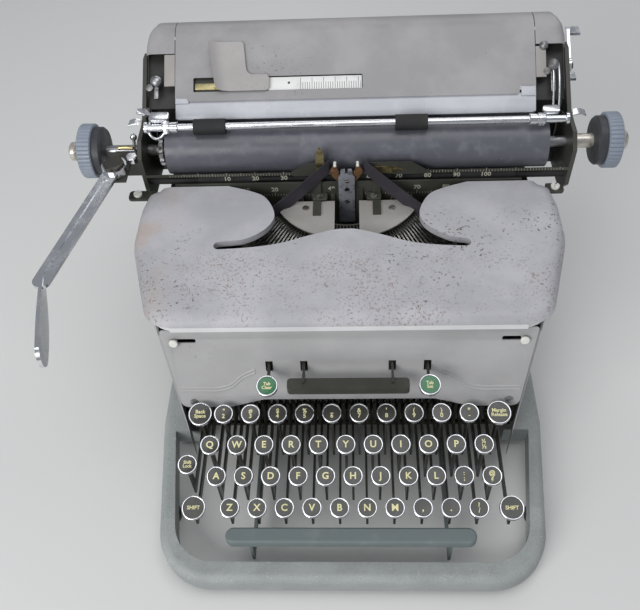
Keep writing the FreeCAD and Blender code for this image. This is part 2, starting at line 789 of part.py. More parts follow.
def make_segment_covers():
    """Two flat plates screwed on the segment, with the ring's own curve in front."""
    plates = []
    radius = dims.segment_outer + 0.6
    disc = Part.makeCylinder(radius, dims.segment_cover_thick,
                             Vec(0, dims.strike_y, dims.segment_cover_z))
    for side in (-1, 1):
        outline = [(side * dims.segment_cover_inner, 0), (side * dims.segment_cover_inner, 48),
                   (side * 34, 47), (side * 60, 25), (side * 60, 0)]
        wire = Part.makePolygon([Vec(x, y, dims.segment_cover_z) for x, y in outline + outline[:1]])
        area = Part.Face(wire).extrude(Vec(0, 0, dims.segment_cover_thick))
        plates.append(disc.common(area))
    return sub_part(solid(Part.makeCompound(plates)), "segment_covers")


def make_type_guide():
    """The upright channel in which the ribbon vibrator runs, on the segment carrier."""
    low = "pivot_z - segment_drop"
    back = block("-guide_half", "guide_half", "guide_y", "guide_y + 1.2", low, "guide_top_z")
    foot = block("-guide_half", "guide_half", "guide_y + 1.2", "segment_carrier_y", low, f"{low} + 8")
    cheeks = [block(x0, x1, "guide_y - 2.2", "guide_y", low, "guide_top_z - 4") for x0, x1 in
              (("-guide_half", "-guide_half + 3"), ("guide_half - 3", "guide_half"))]
    return sub_part(joined(back, foot, *cheeks), "type_guide")


def make_ribbon_vibrator():
    """The sliding ribbon carrier: a notched plate with two forks at its head."""
    plate = block("-vibrator_half", "vibrator_half", "guide_y - 1.9", "guide_y - 0.3",
                  "pivot_z + 6", "vibrator_top_z")
    notch = block(-1.2, 1.2, "guide_y - 5", "guide_y + 5", "vibrator_top_z - 5", "vibrator_top_z + 1")
    forks = []
    for side in (-1, 1):
        x0, x1 = ("vibrator_half - 3", "fork_half") if side > 0 else ("-fork_half", "-vibrator_half + 3")
        forks.append(block(x0, x1, "guide_y - 1.9", "guide_y - 0.7", "vibrator_top_z - 7", "vibrator_top_z + 4"))
        edge = "fork_half - 1.2" if side > 0 else "-fork_half"
        forks.append(block(edge, f"{edge} + 1.2", "guide_y - 1.9", "ribbon_y - 0.3",
                           "vibrator_top_z - 7", "vibrator_top_z + 4"))
    return sub_part(less(joined(plate, *forks), notch), "ribbon_vibrator")


def strip_between(start, end, wide, thick):
    """A flat ribbon run, its width as near upright as the run allows."""
    along = end - start
    across = (Z_AXIS - along * (along.dot(Z_AXIS) / along.dot(along)))
    across.normalize()
    normal = along.cross(across)
    normal.normalize()
    corners = [start - across * wide / 2, end - across * wide / 2,
               end + across * wide / 2, start + across * wide / 2]
    face = Part.Face(Part.makePolygon(corners + corners[:1]))
    run = face.extrude(normal * thick)
    run.translate(normal * -thick / 2)
    return run


def make_ribbon():
    """The inked ribbon: across the printing point and down to both spools."""
    high = dims.vibrator_top_z - 1
    ends = [Vec(side * dims.ribbon_half, dims.ribbon_y, high) for side in (-1, 1)]
    middle = strip_between(ends[0], ends[1], dims.ribbon_wide, dims.ribbon_thick)
    runs = [middle]
    for side, end in zip((-1, 1), ends):
        low = Vec(side * dims.ribbon_low_x, dims.ribbon_low_y, dims.ribbon_low_z)
        runs.append(strip_between(end, low, dims.ribbon_wide, dims.ribbon_thick))
    return sub_part(solid(runs[0].fuse(runs[1:]).removeSplitter()), "ribbon")


def make_spool(side, label):
    pin, low = "spool_pin + fit_gap", "frame_top + 2.3"
    x = f"{side} * spool_x"
    flanges = [rod("z", start, 1, "spool_radius", x, "spool_y") for start in (low, f"{low} + spool_tall - 1")]
    wound = rod("z", low, "spool_tall", "spool_full", x, "spool_y")
    bore = rod("z", f"{low} - 5", "spool_tall + 10", pin, x, "spool_y")
    return sub_part(less(joined(wound, *flanges), bore), label)


def make_front_scale():
    """The graduated strip in front of the platen, on the front rail."""
    plate = block("-scale_half", "scale_half", "front_rail_y - scale_thick", "front_rail_y",
                  "frame_top", "front_scale_top")
    return sub_part(plate, "front_scale")


def make_carriage_rail():
    """The two fixed rails across the frame that carry the carriage."""
    top = "channel_bottom_z - running_gap"
    front = block("-rail_half", "rail_half", "front_rail_y", "front_rail_y + 8", "frame_top", top)
    rear = block("-rail_half", "rail_half", "channel_front_y - 4", "frame_back_y", "frame_top", top)
    return sub_part(group(front, rear), "carriage_rail")


def make_card_holder():
    """Two dark plates at the printing line, each on its bent bracket."""
    pieces = []
    top = dims.segment_cover_z + dims.segment_cover_thick
    for side in (-1, 1):
        reach = dims.card_left if side < 0 else dims.card_right
        low, high = dims.card_low_z, dims.card_low_z + 11.5
        outline = [(16, low), (reach - 3, low), (reach, low + 2.5), (reach - 13, high), (16, high)]
        points = [Vec(side * x, dims.front_rail_y + 0.1, z) for x, z in outline]
        plate = Part.Face(Part.makePolygon(points + points[:1])).extrude(Vec(0, 0.6, 0))
        back = dims.front_rail_y + 0.1
        front = dims.front_rail_y - dims.scale_thick - 0.4
        bend = [(40, top), (front, top), (front, low), (back, low), (back, low + 1.2),
                (front - 1.2, low + 1.2), (front - 1.2, top + 1.2), (40, top + 1.2)]
        points = [Vec(side * dims.bracket_x, y, z) for y, z in bend]
        arm = Part.Face(Part.makePolygon(points + points[:1])).extrude(Vec(side * dims.bracket_wide, 0, 0))
        pieces.append(plate.fuse(arm).removeSplitter())
    return sub_part(solid(Part.makeCompound(pieces)), "card_holder")


def make_card_finger(side, label):
    """A brass leaf turned on a pin in the card plate; upright or folded flat."""
    high = dims.finger_long
    y = dims.front_rail_y - 0.7
    points = [Vec(-2.4, 0, -2), Vec(-2.9, 0, high * 0.45), Vec(0, 0, high), Vec(2.9, 0, high * 0.45), Vec(2.4, 0, -2)]
    left = Part.Arc(points[0], Vec(-3.3, 0, high * 0.2), points[1]).toShape()
    left_top = Part.Arc(points[1], Vec(-2.2, 0, high * 0.8), points[2]).toShape()
    right_top = Part.Arc(points[2], Vec(2.2, 0, high * 0.8), points[3]).toShape()
    right = Part.Arc(points[3], Vec(3.3, 0, high * 0.2), points[4]).toShape()
    base = Part.makeLine(points[4], points[0])
    leaf = Part.Face(Part.Wire([left, left_top, right_top, right, base])).extrude(Vec(0, 0.5, 0))
    if side > 0:
        leaf.rotate(Vec(0, 0, 0), Y_AXIS, 90)
    leaf.translate(Vec(side * dims.finger_x, y, dims.finger_z))
    return sub_part(solid(leaf), label)


# ---------------------------------------------------------------- keyboard
ROWS = [("bottom_row", 10, 1), ("home_row", 11, 1), ("upper_row", 11, -1), ("number_row", 10, -1)]


def row_keys(index):
    """The x of each key in a row, and the row's y and z."""
    name, count, side = ROWS[index]
    first = side * dims.row_offset - dims.key_pitch * (count - 1) / 2
    y = dims.first_row_y + index * dims.row_step_y
    z = dims.first_row_z + index * dims.row_step_z
    return [first + dims.key_pitch * place for place in range(count)], y, z


def key_top(x, y, z, radius, foot_z):
    """A dished, tilted key on its flat stem."""
    disc = Part.makeCylinder(radius, dims.key_thick, Vec(0, 0, -dims.key_thick))
    dish = Part.makeCylinder(radius - dims.key_rim, dims.key_dish + 1, Vec(0, 0, -dims.key_dish))
    disc = disc.cut(dish)
    disc.rotate(Vec(0, 0, 0), X_AXIS, dims.key_tilt)
    disc.translate(Vec(x, y, z))
    under = z - dims.key_thick / math.cos(math.radians(dims.key_tilt)) + 0.8
    stem = Part.makeBox(dims.lever_thick, dims.stem_deep, under - foot_z,
                        Vec(x - dims.lever_thick / 2, y - dims.stem_deep / 2, foot_z))
    return disc.fuse(stem)


def lever(x, front_y, tall=None):
    """A flat key lever from its key back to the fulcrum bar."""
    back = dims.fulcrum_y - dims.running_gap
    return Part.makeBox(dims.lever_thick, back - front_y, dims.lever_tall,
                        Vec(x - dims.lever_thick / 2, front_y, dims.lever_z - dims.lever_tall / 2))


def make_row(index):
    name = ROWS[index][0]
    places, y, z = row_keys(index)
    top = dims.lever_z + dims.lever_tall / 2
    keys = [key_top(x, y, z, dims.key_radius, top) for x in places]
    levers = [lever(x, y - dims.stem_deep / 2) for x in places]
    sub_part(solid(Part.makeCompound(keys)), f"{name}_keys")
    sub_part(solid(Part.makeCompound(levers)), f"{name}_levers")


def single_key(x, y, z, radius):
    """A key, its stem and its lever in one piece."""
    top = dims.lever_z + dims.lever_tall / 2
    return key_top(x, y, z, radius, top - 1).fuse(lever(x, y - dims.stem_deep / 2))


def make_single_keys():
    wide = dims.wide_key_radius
    number_y, number_z = row_keys(3)[1:]
    sub_part(solid(single_key(dims.back_space_x, number_y, number_z, wide)), "back_space_key")
    sub_part(solid(single_key(dims.margin_release_x, number_y, number_z, wide)), "margin_release_key")
    sub_part(solid(single_key(dims.shift_lock_x, dims.shift_lock_y, dims.shift_lock_z,
                              dims.key_radius)), "shift_lock_key")
    left = single_key(dims.shift_left_x, dims.first_row_y, dims.first_row_z, wide)
    right = single_key(dims.shift_right_x, dims.first_row_y, dims.first_row_z, wide)
    y = dims.fulcrum_y - 20
    low, half = dims.lever_z - 14, dims.lever_thick / 2
    bar = Part.makeBox(dims.shift_right_x - dims.shift_left_x, 6, 5, Vec(dims.shift_left_x, y, low))
    drops = [Part.makeBox(dims.lever_thick, 6, 14, Vec(x - half, y, low))
             for x in (dims.shift_left_x, dims.shift_right_x)]
    sub_part(solid(left.fuse([right, bar] + drops).removeSplitter()), "shift_keys")


def make_key_comb():
    """The slotted plate that keeps every lever in its lane."""
    y = dims.frame_front_y - dims.comb_thick
    half = dims.frame_inner + dims.frame_plate / 2
    plate = Part.makeBox(2 * half, dims.comb_thick, dims.comb_top_z - dims.comb_low_z,
                         Vec(-half, y, dims.comb_low_z))
    lanes = [x for index in range(4) for x in row_keys(index)[0]]
    lanes += [dims.back_space_x, dims.margin_release_x, dims.shift_lock_x,
              dims.shift_left_x, dims.shift_right_x]
    slot = dims.lever_thick + 2 * dims.comb_gap
    floor = dims.lever_z - dims.lever_tall / 2 - 12
    cuts = [Part.makeBox(slot, 20, 60, Vec(x - slot / 2, y - 5, floor)) for x in lanes]
    return sub_part(solid(plate.cut(Part.makeCompound(cuts))), "key_comb")


def make_space_bar():
    """The long bar on two flat arms that turn on a cross shaft near the table."""
    bar = block("-space_bar_half", "space_bar_half", "space_bar_y - space_bar_deep / 2",
                "space_bar_y + space_bar_deep / 2", "space_bar_top - space_bar_tall", "space_bar_top")
    soft = doc.addObject("Part::Fillet", "soft")
    soft.Base = bar
    doc.recompute()
    ends = [(number, dims.space_bar_deep / 2 - 0.1, dims.space_bar_deep / 2 - 0.1)
            for number, edge in enumerate(bar.Shape.Edges, start=1) if upright(edge)]
    soft.Edges = ends
    doc.recompute()
    cap = doc.addObject("Part::Fillet", "cap")
    cap.Base = soft
    cap.Edges = [(number, 1.8, 1.8) for number, edge in enumerate(soft.Shape.Edges, start=1)
                 if edge.CenterOfMass.z > dims.space_bar_top - 0.01]
    pieces, bores = [cap], []
    for side in (-1, 1):
        low = f"{side} * space_arm_x - 1"
        high = f"{side} * space_arm_x + 1"
        pieces.append(block(low, high, "space_bar_y - 2.5", "space_bar_y + 2.5",
                            "space_arm_z - 4", "space_bar_top - space_bar_tall + 1"))
        pieces.append(block(low, high, "space_bar_y", "space_pivot_y - 2", "space_arm_z - 4", "space_arm_z + 4"))
        pieces.append(rod("x", f"{low} - 1", 4, "space_shaft + 3", "space_pivot_y", "space_arm_z"))
        bores.append(rod("x", f"{low} - 2", 6, "space_shaft + fit_gap", "space_pivot_y", "space_arm_z"))
    return sub_part(less(joined(*pieces), *bores), "space_bar")


def tab_arm(x, front):
    """A flat arm from the tabulator shaft out through the panel's notch."""
    arm = block(f"{x} - 0.8", f"{x} + 0.8", front, "tab_shaft_y - 1", "tab_shaft_z - 2.5", "tab_shaft_z + 2.5")
    eye = rod("x", f"{x} - 1.5", 3, "tab_shaft + 1.6", "tab_shaft_y", "tab_shaft_z")
    bore = rod("x", f"{x} - 3", 6, "tab_shaft + fit_gap", "tab_shaft_y", "tab_shaft_z")
    return [arm, eye], bore


def make_tabulator():
    bar = block("-tab_bar_half", "tab_bar_half", "tab_bar_y - tab_bar_deep / 2",
                "tab_bar_y + tab_bar_deep / 2", "tab_bar_top - 6", "tab_bar_top")
    soft = doc.addObject("Part::Fillet", "soft")
    soft.Base = bar
    doc.recompute()
    soft.Edges = [(number, 2.5, 2.5) for number, edge in enumerate(bar.Shape.Edges, start=1) if upright(edge)]
    pieces, bores = [soft], []
    for x in ("-tab_arm_x", "tab_arm_x"):
        arm, bore = tab_arm(x, "tab_bar_y")
        pieces += arm
        bores.append(bore)
    sub_part(less(joined(*pieces), *bores), "tabulator_bar")
    for side, label in ((-1, "tab_clear_key"), (1, "tab_set_key")):
        x = f"{side} * tab_key_x"
        arm, bore = tab_arm(x, "tab_key_y - 2")
        top = solid(key_top(side * dims.tab_key_x, dims.tab_key_y, dims.tab_key_z,
                            dims.tab_key_radius, dims.tab_shaft_z - 2))
        sub_part(less(joined(top, *arm), bore), label)


def make_panel_lever(x, side, label):
    """A slide behind the panel with its tongue out through the slot, at the slot's end towards side."""
    back = dims.sheet + dims.running_gap
    plate_wide = dims.slot_wide + 2 * dims.slide_lap
    plate_tall = dims.slot_tall + dims.slide_lap
    plate = Part.makeBox(plate_wide, dims.slide_thick, plate_tall, Vec(-plate_wide / 2, back, -plate_tall / 2))
    middle = side * dims.tongue_off
    reach = dims.tongue_reach
    tongue = Part.makeBox(
        dims.tongue_wide, back + reach, dims.tongue_thick,
        Vec(middle - dims.tongue_wide / 2, -reach, -dims.tongue_thick / 2))
    tip = Part.makeBox(
        dims.tip_wide, dims.tip_deep, dims.tip_tall,
        Vec(middle - dims.tip_wide / 2, -reach - dims.tip_deep + 1, -dims.tip_tall / 2))
    piece = plate.fuse([tongue, tip])
    piece.translate(Vec(0, 0, -dims.slot_drop))
    piece.rotate(Vec(0, 0, 0), X_AXIS, -dims.panel_lean)
    piece.translate(Vec(x, dims.panel_top_y, dims.panel_top_z))
    return sub_part(solid(piece), label)


# ---------------------------------------------------------------- carriage
def make_platen():
    tube = rod("x", "platen_left", "platen_right - platen_left", "platen_radius", "platen_y", "platen_z")
    core = rod("x", "platen_left - 1", "platen_right - platen_left + 2", "platen_core", "platen_y", "platen_z")
    sub_part(less(tube, core), "platen")
    inner = rod("x", "platen_left", "platen_right - platen_left", "platen_core", "platen_y", "platen_z")
    shaft = rod("x", "knob_left_x", "knob_right_x - knob_left_x", "shaft_radius", "platen_y", "platen_z")
    ratchet = rod("x", "platen_left - 6", 3, "ratchet_radius", "platen_y", "platen_z")
    teeth = []
    for index in range(int(dims.ratchet_teeth)):
        tooth = Part.makeBox(5, 3.2, 3.2, Vec(dims.platen_left - 7, -1.6, -1.6))
        tooth.rotate(Vec(0, 0, 0), X_AXIS, 45)
        tooth.translate(Vec(0, dims.ratchet_radius + 0.9, 0))
        tooth.rotate(Vec(0, 0, 0), X_AXIS, 360 / dims.ratchet_teeth * index)
        tooth.translate(Vec(0, dims.platen_y, dims.platen_z))
        teeth.append(tooth)
    gaps = solid(Part.makeCompound(teeth))
    sub_part(joined(inner, shaft, less(ratchet, gaps)), "platen_shaft")


def make_knob(x, button_side, label):
    """A ribbed thumb wheel with a bright end button."""
    wheel = Part.makeCylinder(dims.knob_radius, dims.knob_wide, Vec(0, 0, 0), X_AXIS)
    flutes = []
    for index in range(int(dims.knob_ribs)):
        flute = Part.makeBox(dims.knob_wide + 2, 2.6, 2.4, Vec(-1, -1.3, dims.knob_radius - dims.knob_rib_depth))
        flute.rotate(Vec(0, 0, 0), X_AXIS, 360 / dims.knob_ribs * index)
        flutes.append(flute)
    wheel = wheel.cut(Part.makeCompound(flutes))
    face = dims.knob_wide if button_side > 0 else 0
    recess = Part.makeCylinder(dims.knob_radius - 4, 1.5, Vec(face - (1.5 if button_side > 0 else 0), 0, 0), X_AXIS)
    wheel = wheel.cut(recess)
    if button_side < 0:
        button = Part.makeCylinder(dims.button_radius, dims.button_long + 2, Vec(-dims.button_long, 0, 0), X_AXIS)
    else:
        button = Part.makeCylinder(dims.button_radius, dims.button_long + 2, Vec(dims.knob_wide - 2, 0, 0), X_AXIS)
    wheel = wheel.fuse(button)
    wheel.translate(Vec(x, dims.platen_y, dims.platen_z))
    return sub_part(solid(wheel), label)


def end_profile():
    """The side outline of a carriage end plate, front bottom first."""
    return [("end_front_y", "end_bottom_z + 14"), ("end_front_y + 12", "end_bottom_z"),
            ("channel_back_y", "channel_bottom_z"), ("channel_back_y", "table_low_z - 20"),
            ("table_back_y - 30", "table_seam_z"), ("table_back_y - 30", "table_seam_z + 8"),
            ("table_top_y - 12", "table_top_z - 16"), ("table_low_y - 4", "table_low_z - 7"),
            ("end_front_y + 10", "table_low_z - 7"), ("end_front_y", "table_low_z - 16")]


def make_carriage_frame():
    pieces, holes = [], []
    for x in ("end_left_x", "end_right_x"):
        plate = padded("YZ_Plane", end_profile(), "end_plate")
        put(plate, x)
        pieces.append(plate)
        for radius, y, z in (("shaft_radius", "platen_y", "platen_z"),
                             ("feed_shaft", feed_place(-1)[0], feed_place(-1)[1]),
                             ("feed_shaft", feed_place(1)[0], feed_place(1)[1])):
            holes.append(rod("x", f"{x} - 5", 15, f"{radius} + fit_gap", y, z))
        stud = x + " + end_plate" if x == "end_left_x" else x + " - 5"
        pieces.append(rod("x", stud, 5, "bail_stud", "bail_pivot_y", "bail_pivot_z"))
    pieces.append(block("end_left_x", "end_right_x + end_plate", "channel_front_y", "channel_back_y",
                        "channel_bottom_z", "channel_bottom_z + channel_tall"))
    pieces += side_studs()
    return sub_part(less(joined(*pieces), *holes), "carriage_frame")


def feed_place(side):
    """The axis of a feed roller, under the platen and to its front or back."""
    reach = "(platen_radius + feed_radius + running_gap)"
    return (f"platen_y + {side} * {reach} * sin(feed_angle)", f"platen_z - {reach} * cos(feed_angle)")


def make_feed_roller(side, label):
    y, z = feed_place(side)
    shaft = rod("x", "end_left_x - 1", "end_right_x - end_left_x + end_plate + 2", "feed_shaft", y, z)
    rolls = [rod("x", f"{middle} - 22", 44, "feed_radius", y, z) for middle in (-90, 6.5, 103)]
    return sub_part(joined(shaft, *rolls), label)


def make_carriage_scale():
    """The graduated strip that travels with the carriage just ahead of the platen."""
    plate = block("end_left_x + end_plate", "end_right_x", "end_front_y", "end_front_y + 0.8",
                  "scale_low_z", "scale_low_z + scale_tall")
    return sub_part(plate, "carriage_scale")


def make_paper_bail():
    """Two arms and the rod that holds the paper to the platen."""
    rod_piece = rod("x", "bail_left", "bail_right - bail_left", "bail_radius", "bail_y", "bail_z")
    pieces, bores = [rod_piece], []
    for x in ("bail_left", "bail_right - 2"):
        reach = math.hypot(dims.bail_pivot_y - dims.bail_y, dims.bail_pivot_z - dims.bail_z)
        arm = doc.addObject("Part::Box", "arm")
        bind(arm, Length=2, Width="sqrt((bail_pivot_y - bail_y)^2 + (bail_pivot_z - bail_z)^2)", Height=6)
        turn(arm, X_AXIS, "-atan((bail_z - bail_pivot_z) / (bail_pivot_y - bail_y))")
        tilt = "atan((bail_z - bail_pivot_z) / (bail_pivot_y - bail_y))"
        put(arm, x, f"bail_y - 3 * sin({tilt})", f"bail_z - 3 * cos({tilt})")
        pieces += [arm, rod("x", x, 2, 4.5, "bail_y", "bail_z"), rod("x", x, 2, 5.0, "bail_pivot_y", "bail_pivot_z")]
        bores.append(rod("x", f"{x} - 3", 8, "bail_stud + fit_gap", "bail_pivot_y", "bail_pivot_z"))
    return sub_part(less(joined(*pieces), *bores), "paper_bail")


def make_bail_rollers():
    rolls = []
    for x in ("bail_roll_left", "bail_roll_right"):
        roll = rod("x", f"{x} - bail_roll_long / 2", "bail_roll_long", "bail_roll_radius", "bail_y", "bail_z")
        bore = rod("x", f"{x} - bail_roll_long", "2 * bail_roll_long", "bail_radius + fit_gap", "bail_y", "bail_z")
        rolls.append(less(roll, bore))
    return sub_part(group(*rolls), "bail_rollers")


def table_profile(low_y, low_z, wall):
    """The paper table's section: up the slope, over the rounded top, down behind."""
    y0, z0 = low_y, low_z
    y1, z1 = dims.table_top_y, dims.table_top_z
    y2, z2 = dims.table_back_y, dims.table_back_z
    slope = math.atan2(z1 - z0, y1 - y0)
    bulge = Vec(0, y1 + (y2 - y1) * 0.62, z1 - 1.0)
    start, top, back = Vec(0, y0, z0), Vec(0, y1, z1), Vec(0, y2, z2)
    return start, top, bulge, back, slope


def table_shell(x0, x1, low_y, low_z, wall):
    start, top, bulge, back, slope = table_profile(low_y, low_z, wall)
    inward = Vec(0, math.sin(slope), -math.cos(slope)) * wall
    inner_back = back + Vec(0, -wall, 0)
    inner_top = top + inward
    inner_bulge = bulge + Vec(0, -wall * 0.7, -wall * 0.75)
    edges = [Part.makeLine(start, top), Part.Arc(top, bulge, back).toShape(),
             Part.makeLine(back, inner_back), Part.Arc(inner_back, inner_bulge, inner_top).toShape(),
             Part.makeLine(inner_top, start + inward), Part.makeLine(start + inward, start)]
    shell = Part.Face(Part.Wire(edges)).extrude(Vec(x1 - x0, 0, 0))
    shell.translate(Vec(x0, 0, 0))
    return shell


def table_end(x0, x1):
    """A closed end cap with the table's section."""
    start, top, bulge, back, slope = table_profile(dims.table_low_y + 4, dims.table_low_z + 3, 0)
    edges = [Part.makeLine(start, top), Part.Arc(top, bulge, back).toShape(), Part.makeLine(back, start)]
    cap = Part.Face(Part.Wire(edges)).extrude(Vec(x1 - x0, 0, 0))
    cap.translate(Vec(x0, 0, 0))
    return cap


def make_paper_table():
    shell = table_shell(dims.table_left, dims.table_right, dims.table_seam_y, dims.table_seam_z, dims.sheet)
    return sub_part(solid(shell), "paper_table")


def make_table_ends():
    ends = [table_end(dims.end_left_x + dims.end_plate, dims.table_left),
            table_end(dims.table_right, dims.end_right_x)]
    return sub_part(solid(Part.makeCompound(ends)), "paper_table_ends")


def make_paper_deflector():
    """The curved strip below the table that turns the paper up."""
    low = Vec(dims.table_left, dims.table_low_y, dims.table_low_z)
    high = Vec(dims.table_left, dims.table_seam_y - 0.6, dims.table_seam_z - 0.9)
    middle = (low + high) / 2 + Vec(0, 1.2, -1.4)
    drop = Vec(0, 0.9, -1.2)
    edges = [Part.Arc(low, middle, high).toShape(), Part.makeLine(high, high + drop),
             Part.Arc(high + drop, middle + drop, low + drop).toShape(), Part.makeLine(low + drop, low)]
    strip = Part.Face(Part.Wire(edges)).extrude(Vec(dims.table_right - dims.table_left, 0, 0))
    return sub_part(solid(strip), "paper_deflector")


def make_paper_guide():
    """The L-shaped edge guide that slides along the paper table."""
    u0, u1, step = dims.guide_left_u, dims.guide_left_u + dims.guide_wide, dims.guide_left_u + dims.guide_step
    v0, v1, v2 = dims.guide_low_v, dims.guide_mid_v, dims.guide_high_v
    outline = [(u0, v0), (u1, v0), (u1, v1), (step, v1), (step, v2), (u0, v2)]
    points = [Vec(u, v, dims.running_gap) for u, v in outline]
    plate = Part.Face(Part.makePolygon(points + points[:1])).extrude(Vec(0, 0, 1.5))
    slope = math.degrees(math.atan2(dims.table_top_z - dims.table_seam_z, dims.table_top_y - dims.table_seam_y))
    plate.rotate(Vec(0, 0, 0), X_AXIS, slope)
    plate.translate(Vec(0, dims.table_seam_y, dims.table_seam_z))
    return sub_part(solid(plate), "paper_guide")


def make_line_space_housing():
    """The bracket outside the left end plate that carries the return lever."""
    main = block("housing_left", "end_left_x", "end_front_y", "end_front_y + 13", "housing_low_z", "housing_top_z")
    tongue = block("housing_left", "housing_left + 18", "lever_pivot_y - 10", "end_front_y + 1",
                   "housing_top_z - 1.7", "housing_top_z")
    pin = rod("z", "housing_top_z - 1", "arm_z - housing_top_z + 8", 3, "lever_pivot_x", "lever_pivot_y")
    return sub_part(joined(main, tongue, pin), "line_space_housing")


def make_return_lever():
    """The carriage return lever: boss, long grooved arm and upright thumb blade."""
    pivot = Vec(dims.lever_pivot_x, dims.lever_pivot_y, dims.arm_z)
    bend = Vec(dims.lever_bend_x, dims.lever_bend_y, dims.arm_z)
    tip = Vec(dims.lever_tip_x, dims.lever_tip_y, dims.arm_z)
    along = (bend - pivot).normalize()
    across = Z_AXIS.cross(along)
    half = across * (dims.arm_wide / 2)
    corners = [pivot - half, bend - half, bend + half, pivot + half]
    arm = Part.Face(Part.makePolygon(corners + corners[:1])).extrude(Vec(0, 0, dims.arm_thick))
    groove = across * 1.5
    start, end = pivot + along * 14, bend - along * 4
    corners = [start - groove, end - groove, end + groove, start + groove]
    channel = Part.Face(Part.makePolygon(corners + corners[:1])).extrude(Vec(0, 0, 1))
    channel.translate(Vec(0, 0, dims.arm_thick - 0.8))
    boss_low = dims.housing_top_z + dims.running_gap
    boss = Part.makeCylinder(9, dims.arm_z + 4.5 - boss_low, Vec(pivot.x, pivot.y, boss_low))
    reach = (tip - bend).normalize()
    side = Z_AXIS.cross(reach)
    long = (tip - bend).Length
    top, low = dims.arm_z + dims.arm_thick, dims.blade_low_z
    middle = (top + low) / 2
    def at(distance, height):
        return bend + reach * distance + Vec(0, 0, height - dims.arm_z) - side * 1.2
    upper = Part.Arc(at(-4, top), at(long * 0.5, top + 1.5), at(long - 8, top)).toShape()
    nose = Part.Arc(at(long - 8, top), at(long, middle), at(long - 8, low)).toShape()
    under = Part.Arc(at(long - 8, low), at(long * 0.55, low + 1.0), at(-4, dims.arm_z)).toShape()
    root = Part.makeLine(at(-4, dims.arm_z), at(-4, top))
    blade = Part.Face(Part.Wire([upper, nose, under, root])).extrude(side * 2.4)
    elbow = Part.makeCylinder(dims.arm_wide / 2, dims.arm_thick, bend)
    piece = arm.cut(channel).fuse([boss, elbow, blade])
    piece = piece.cut(Part.makeCylinder(3 + dims.fit_gap, 20, Vec(pivot.x, pivot.y, boss_low - 2)))
    return sub_part(solid(piece.removeSplitter()), "return_lever")


def side_lever(x0, thick, y, z, top_y, top_z, tab_out, label, tab_back=0):
    """A flat arm on a stud with a finger tab bent outwards at its end."""
    start, end = Vec(x0, y, z), Vec(x0, top_y, top_z)
    along = (end - start).normalize()
    half = X_AXIS.cross(along) * 3.2
    corners = [start - half, end - half, end + half, start + half]
    arm = Part.Face(Part.makePolygon(corners + corners[:1])).extrude(Vec(thick, 0, 0))
    boss = Part.makeCylinder(5.5, thick, start, X_AXIS)
    tab_low = min(x0, x0 + tab_out)
    tab = Part.makeBox(abs(tab_out), 9, 2, Vec(tab_low, 0, 0))
    tab.translate(Vec(0, top_y - 4.5 + tab_back, top_z - 1))
    piece = arm.fuse([boss, tab])
    piece = piece.cut(Part.makeCylinder(dims.bail_stud + dims.fit_gap, 30, start - Vec(12, 0, 0), X_AXIS))
    return sub_part(solid(piece), label)


def make_side_levers():
    thick, gap = 2.0, dims.running_gap
    left_face, right_face = dims.end_left_x, dims.end_right_x + dims.end_plate
    side_lever(left_face - gap - thick, thick, dims.release_y, dims.release_z,
               dims.release_top_y, dims.release_top_z, -10, "carriage_release_left")
    side_lever(right_face + gap, thick, dims.release_y, dims.release_z,
               dims.release_top_y, dims.release_top_z, 12, "carriage_release_right")
    reach = dims.side_arm
    side_lever(right_face + gap, thick, dims.margin_y, dims.margin_z, dims.margin_y + reach * 0.85,
               dims.margin_z + reach * 0.53, 10, "margin_lever")
    side_lever(right_face + gap, thick, dims.paper_release_y, dims.paper_release_z,
               dims.paper_release_y + reach * 0.85, dims.paper_release_z + reach * 0.42,
               10, "paper_release_lever")


def side_studs():
    """The studs on the end plates' outer faces that the side levers turn on."""
    left = ("end_left_x - 4", "release_y", "release_z")
    rights = [("release_y", "release_z"), ("margin_y", "margin_z"), ("paper_release_y", "paper_release_z")]
    studs = [rod("x", left[0], 5, "bail_stud", left[1], left[2])]
    studs += [rod("x", "end_right_x + end_plate - 1", 5, "bail_stud", y, z) for y, z in rights]
    return studs


def make_spring_drum():
    drum = rod("y", "frame_back_y + drum_stand", "drum_wide", "drum_radius", "drum_x", "drum_z")
    bore = rod("y", "frame_back_y", "drum_wide + 10", "shaft_radius + fit_gap", "drum_x", "drum_z")
    return sub_part(less(drum, bore), "spring_drum")


# ---------------------------------------------------------------- assembly
make_base_frame()
make_rubber_feet()
make_inner_frame()
make_side_panels()
make_front_panel()
make_top_cover()
make_rear_panel()
make_type_segment()
make_segment_covers()
make_typebars()
make_type_guide()
make_ribbon_vibrator()
make_ribbon()
make_spool(-1, "ribbon_spool_left")
make_spool(1, "ribbon_spool_right")
make_card_holder()
make_card_finger(-1, "card_finger_left")
make_card_finger(1, "card_finger_right")
make_front_scale()
make_carriage_rail()
for row_index in range(len(ROWS)):
    make_row(row_index)
make_single_keys()
make_key_comb()
make_space_bar()
make_tabulator()
make_panel_lever(dims.slot_right_x, 1, "ribbon_selector")
make_panel_lever(dims.slot_left_x, -1, "ribbon_reverse")
make_spring_drum()
make_platen()
make_knob(dims.knob_left_x - dims.knob_wide, -1, "knob_left")
make_knob(dims.knob_right_x, 1, "knob_right")
make_carriage_frame()
make_feed_roller(-1, "feed_roller_front")
make_feed_roller(1, "feed_roller_rear")
make_carriage_scale()
make_paper_bail()
make_bail_rollers()
make_paper_table()
make_table_ends()
make_paper_deflector()
make_paper_guide()
make_line_space_housing()
make_return_lever()
make_side_levers()

doc.recompute()
for thing in doc.Objects:
    if {"Invalid", "Error"} & set(thing.State):
        raise RuntimeError(f"{thing.Name} ({thing.Label}) failed: {thing.State}")
for thing in sub_parts:
    if thing.Shape.isNull() or not thing.Shape.isValid() or not thing.Shape.Solids:
        raise RuntimeError(f"{thing.Label} has no valid solid")

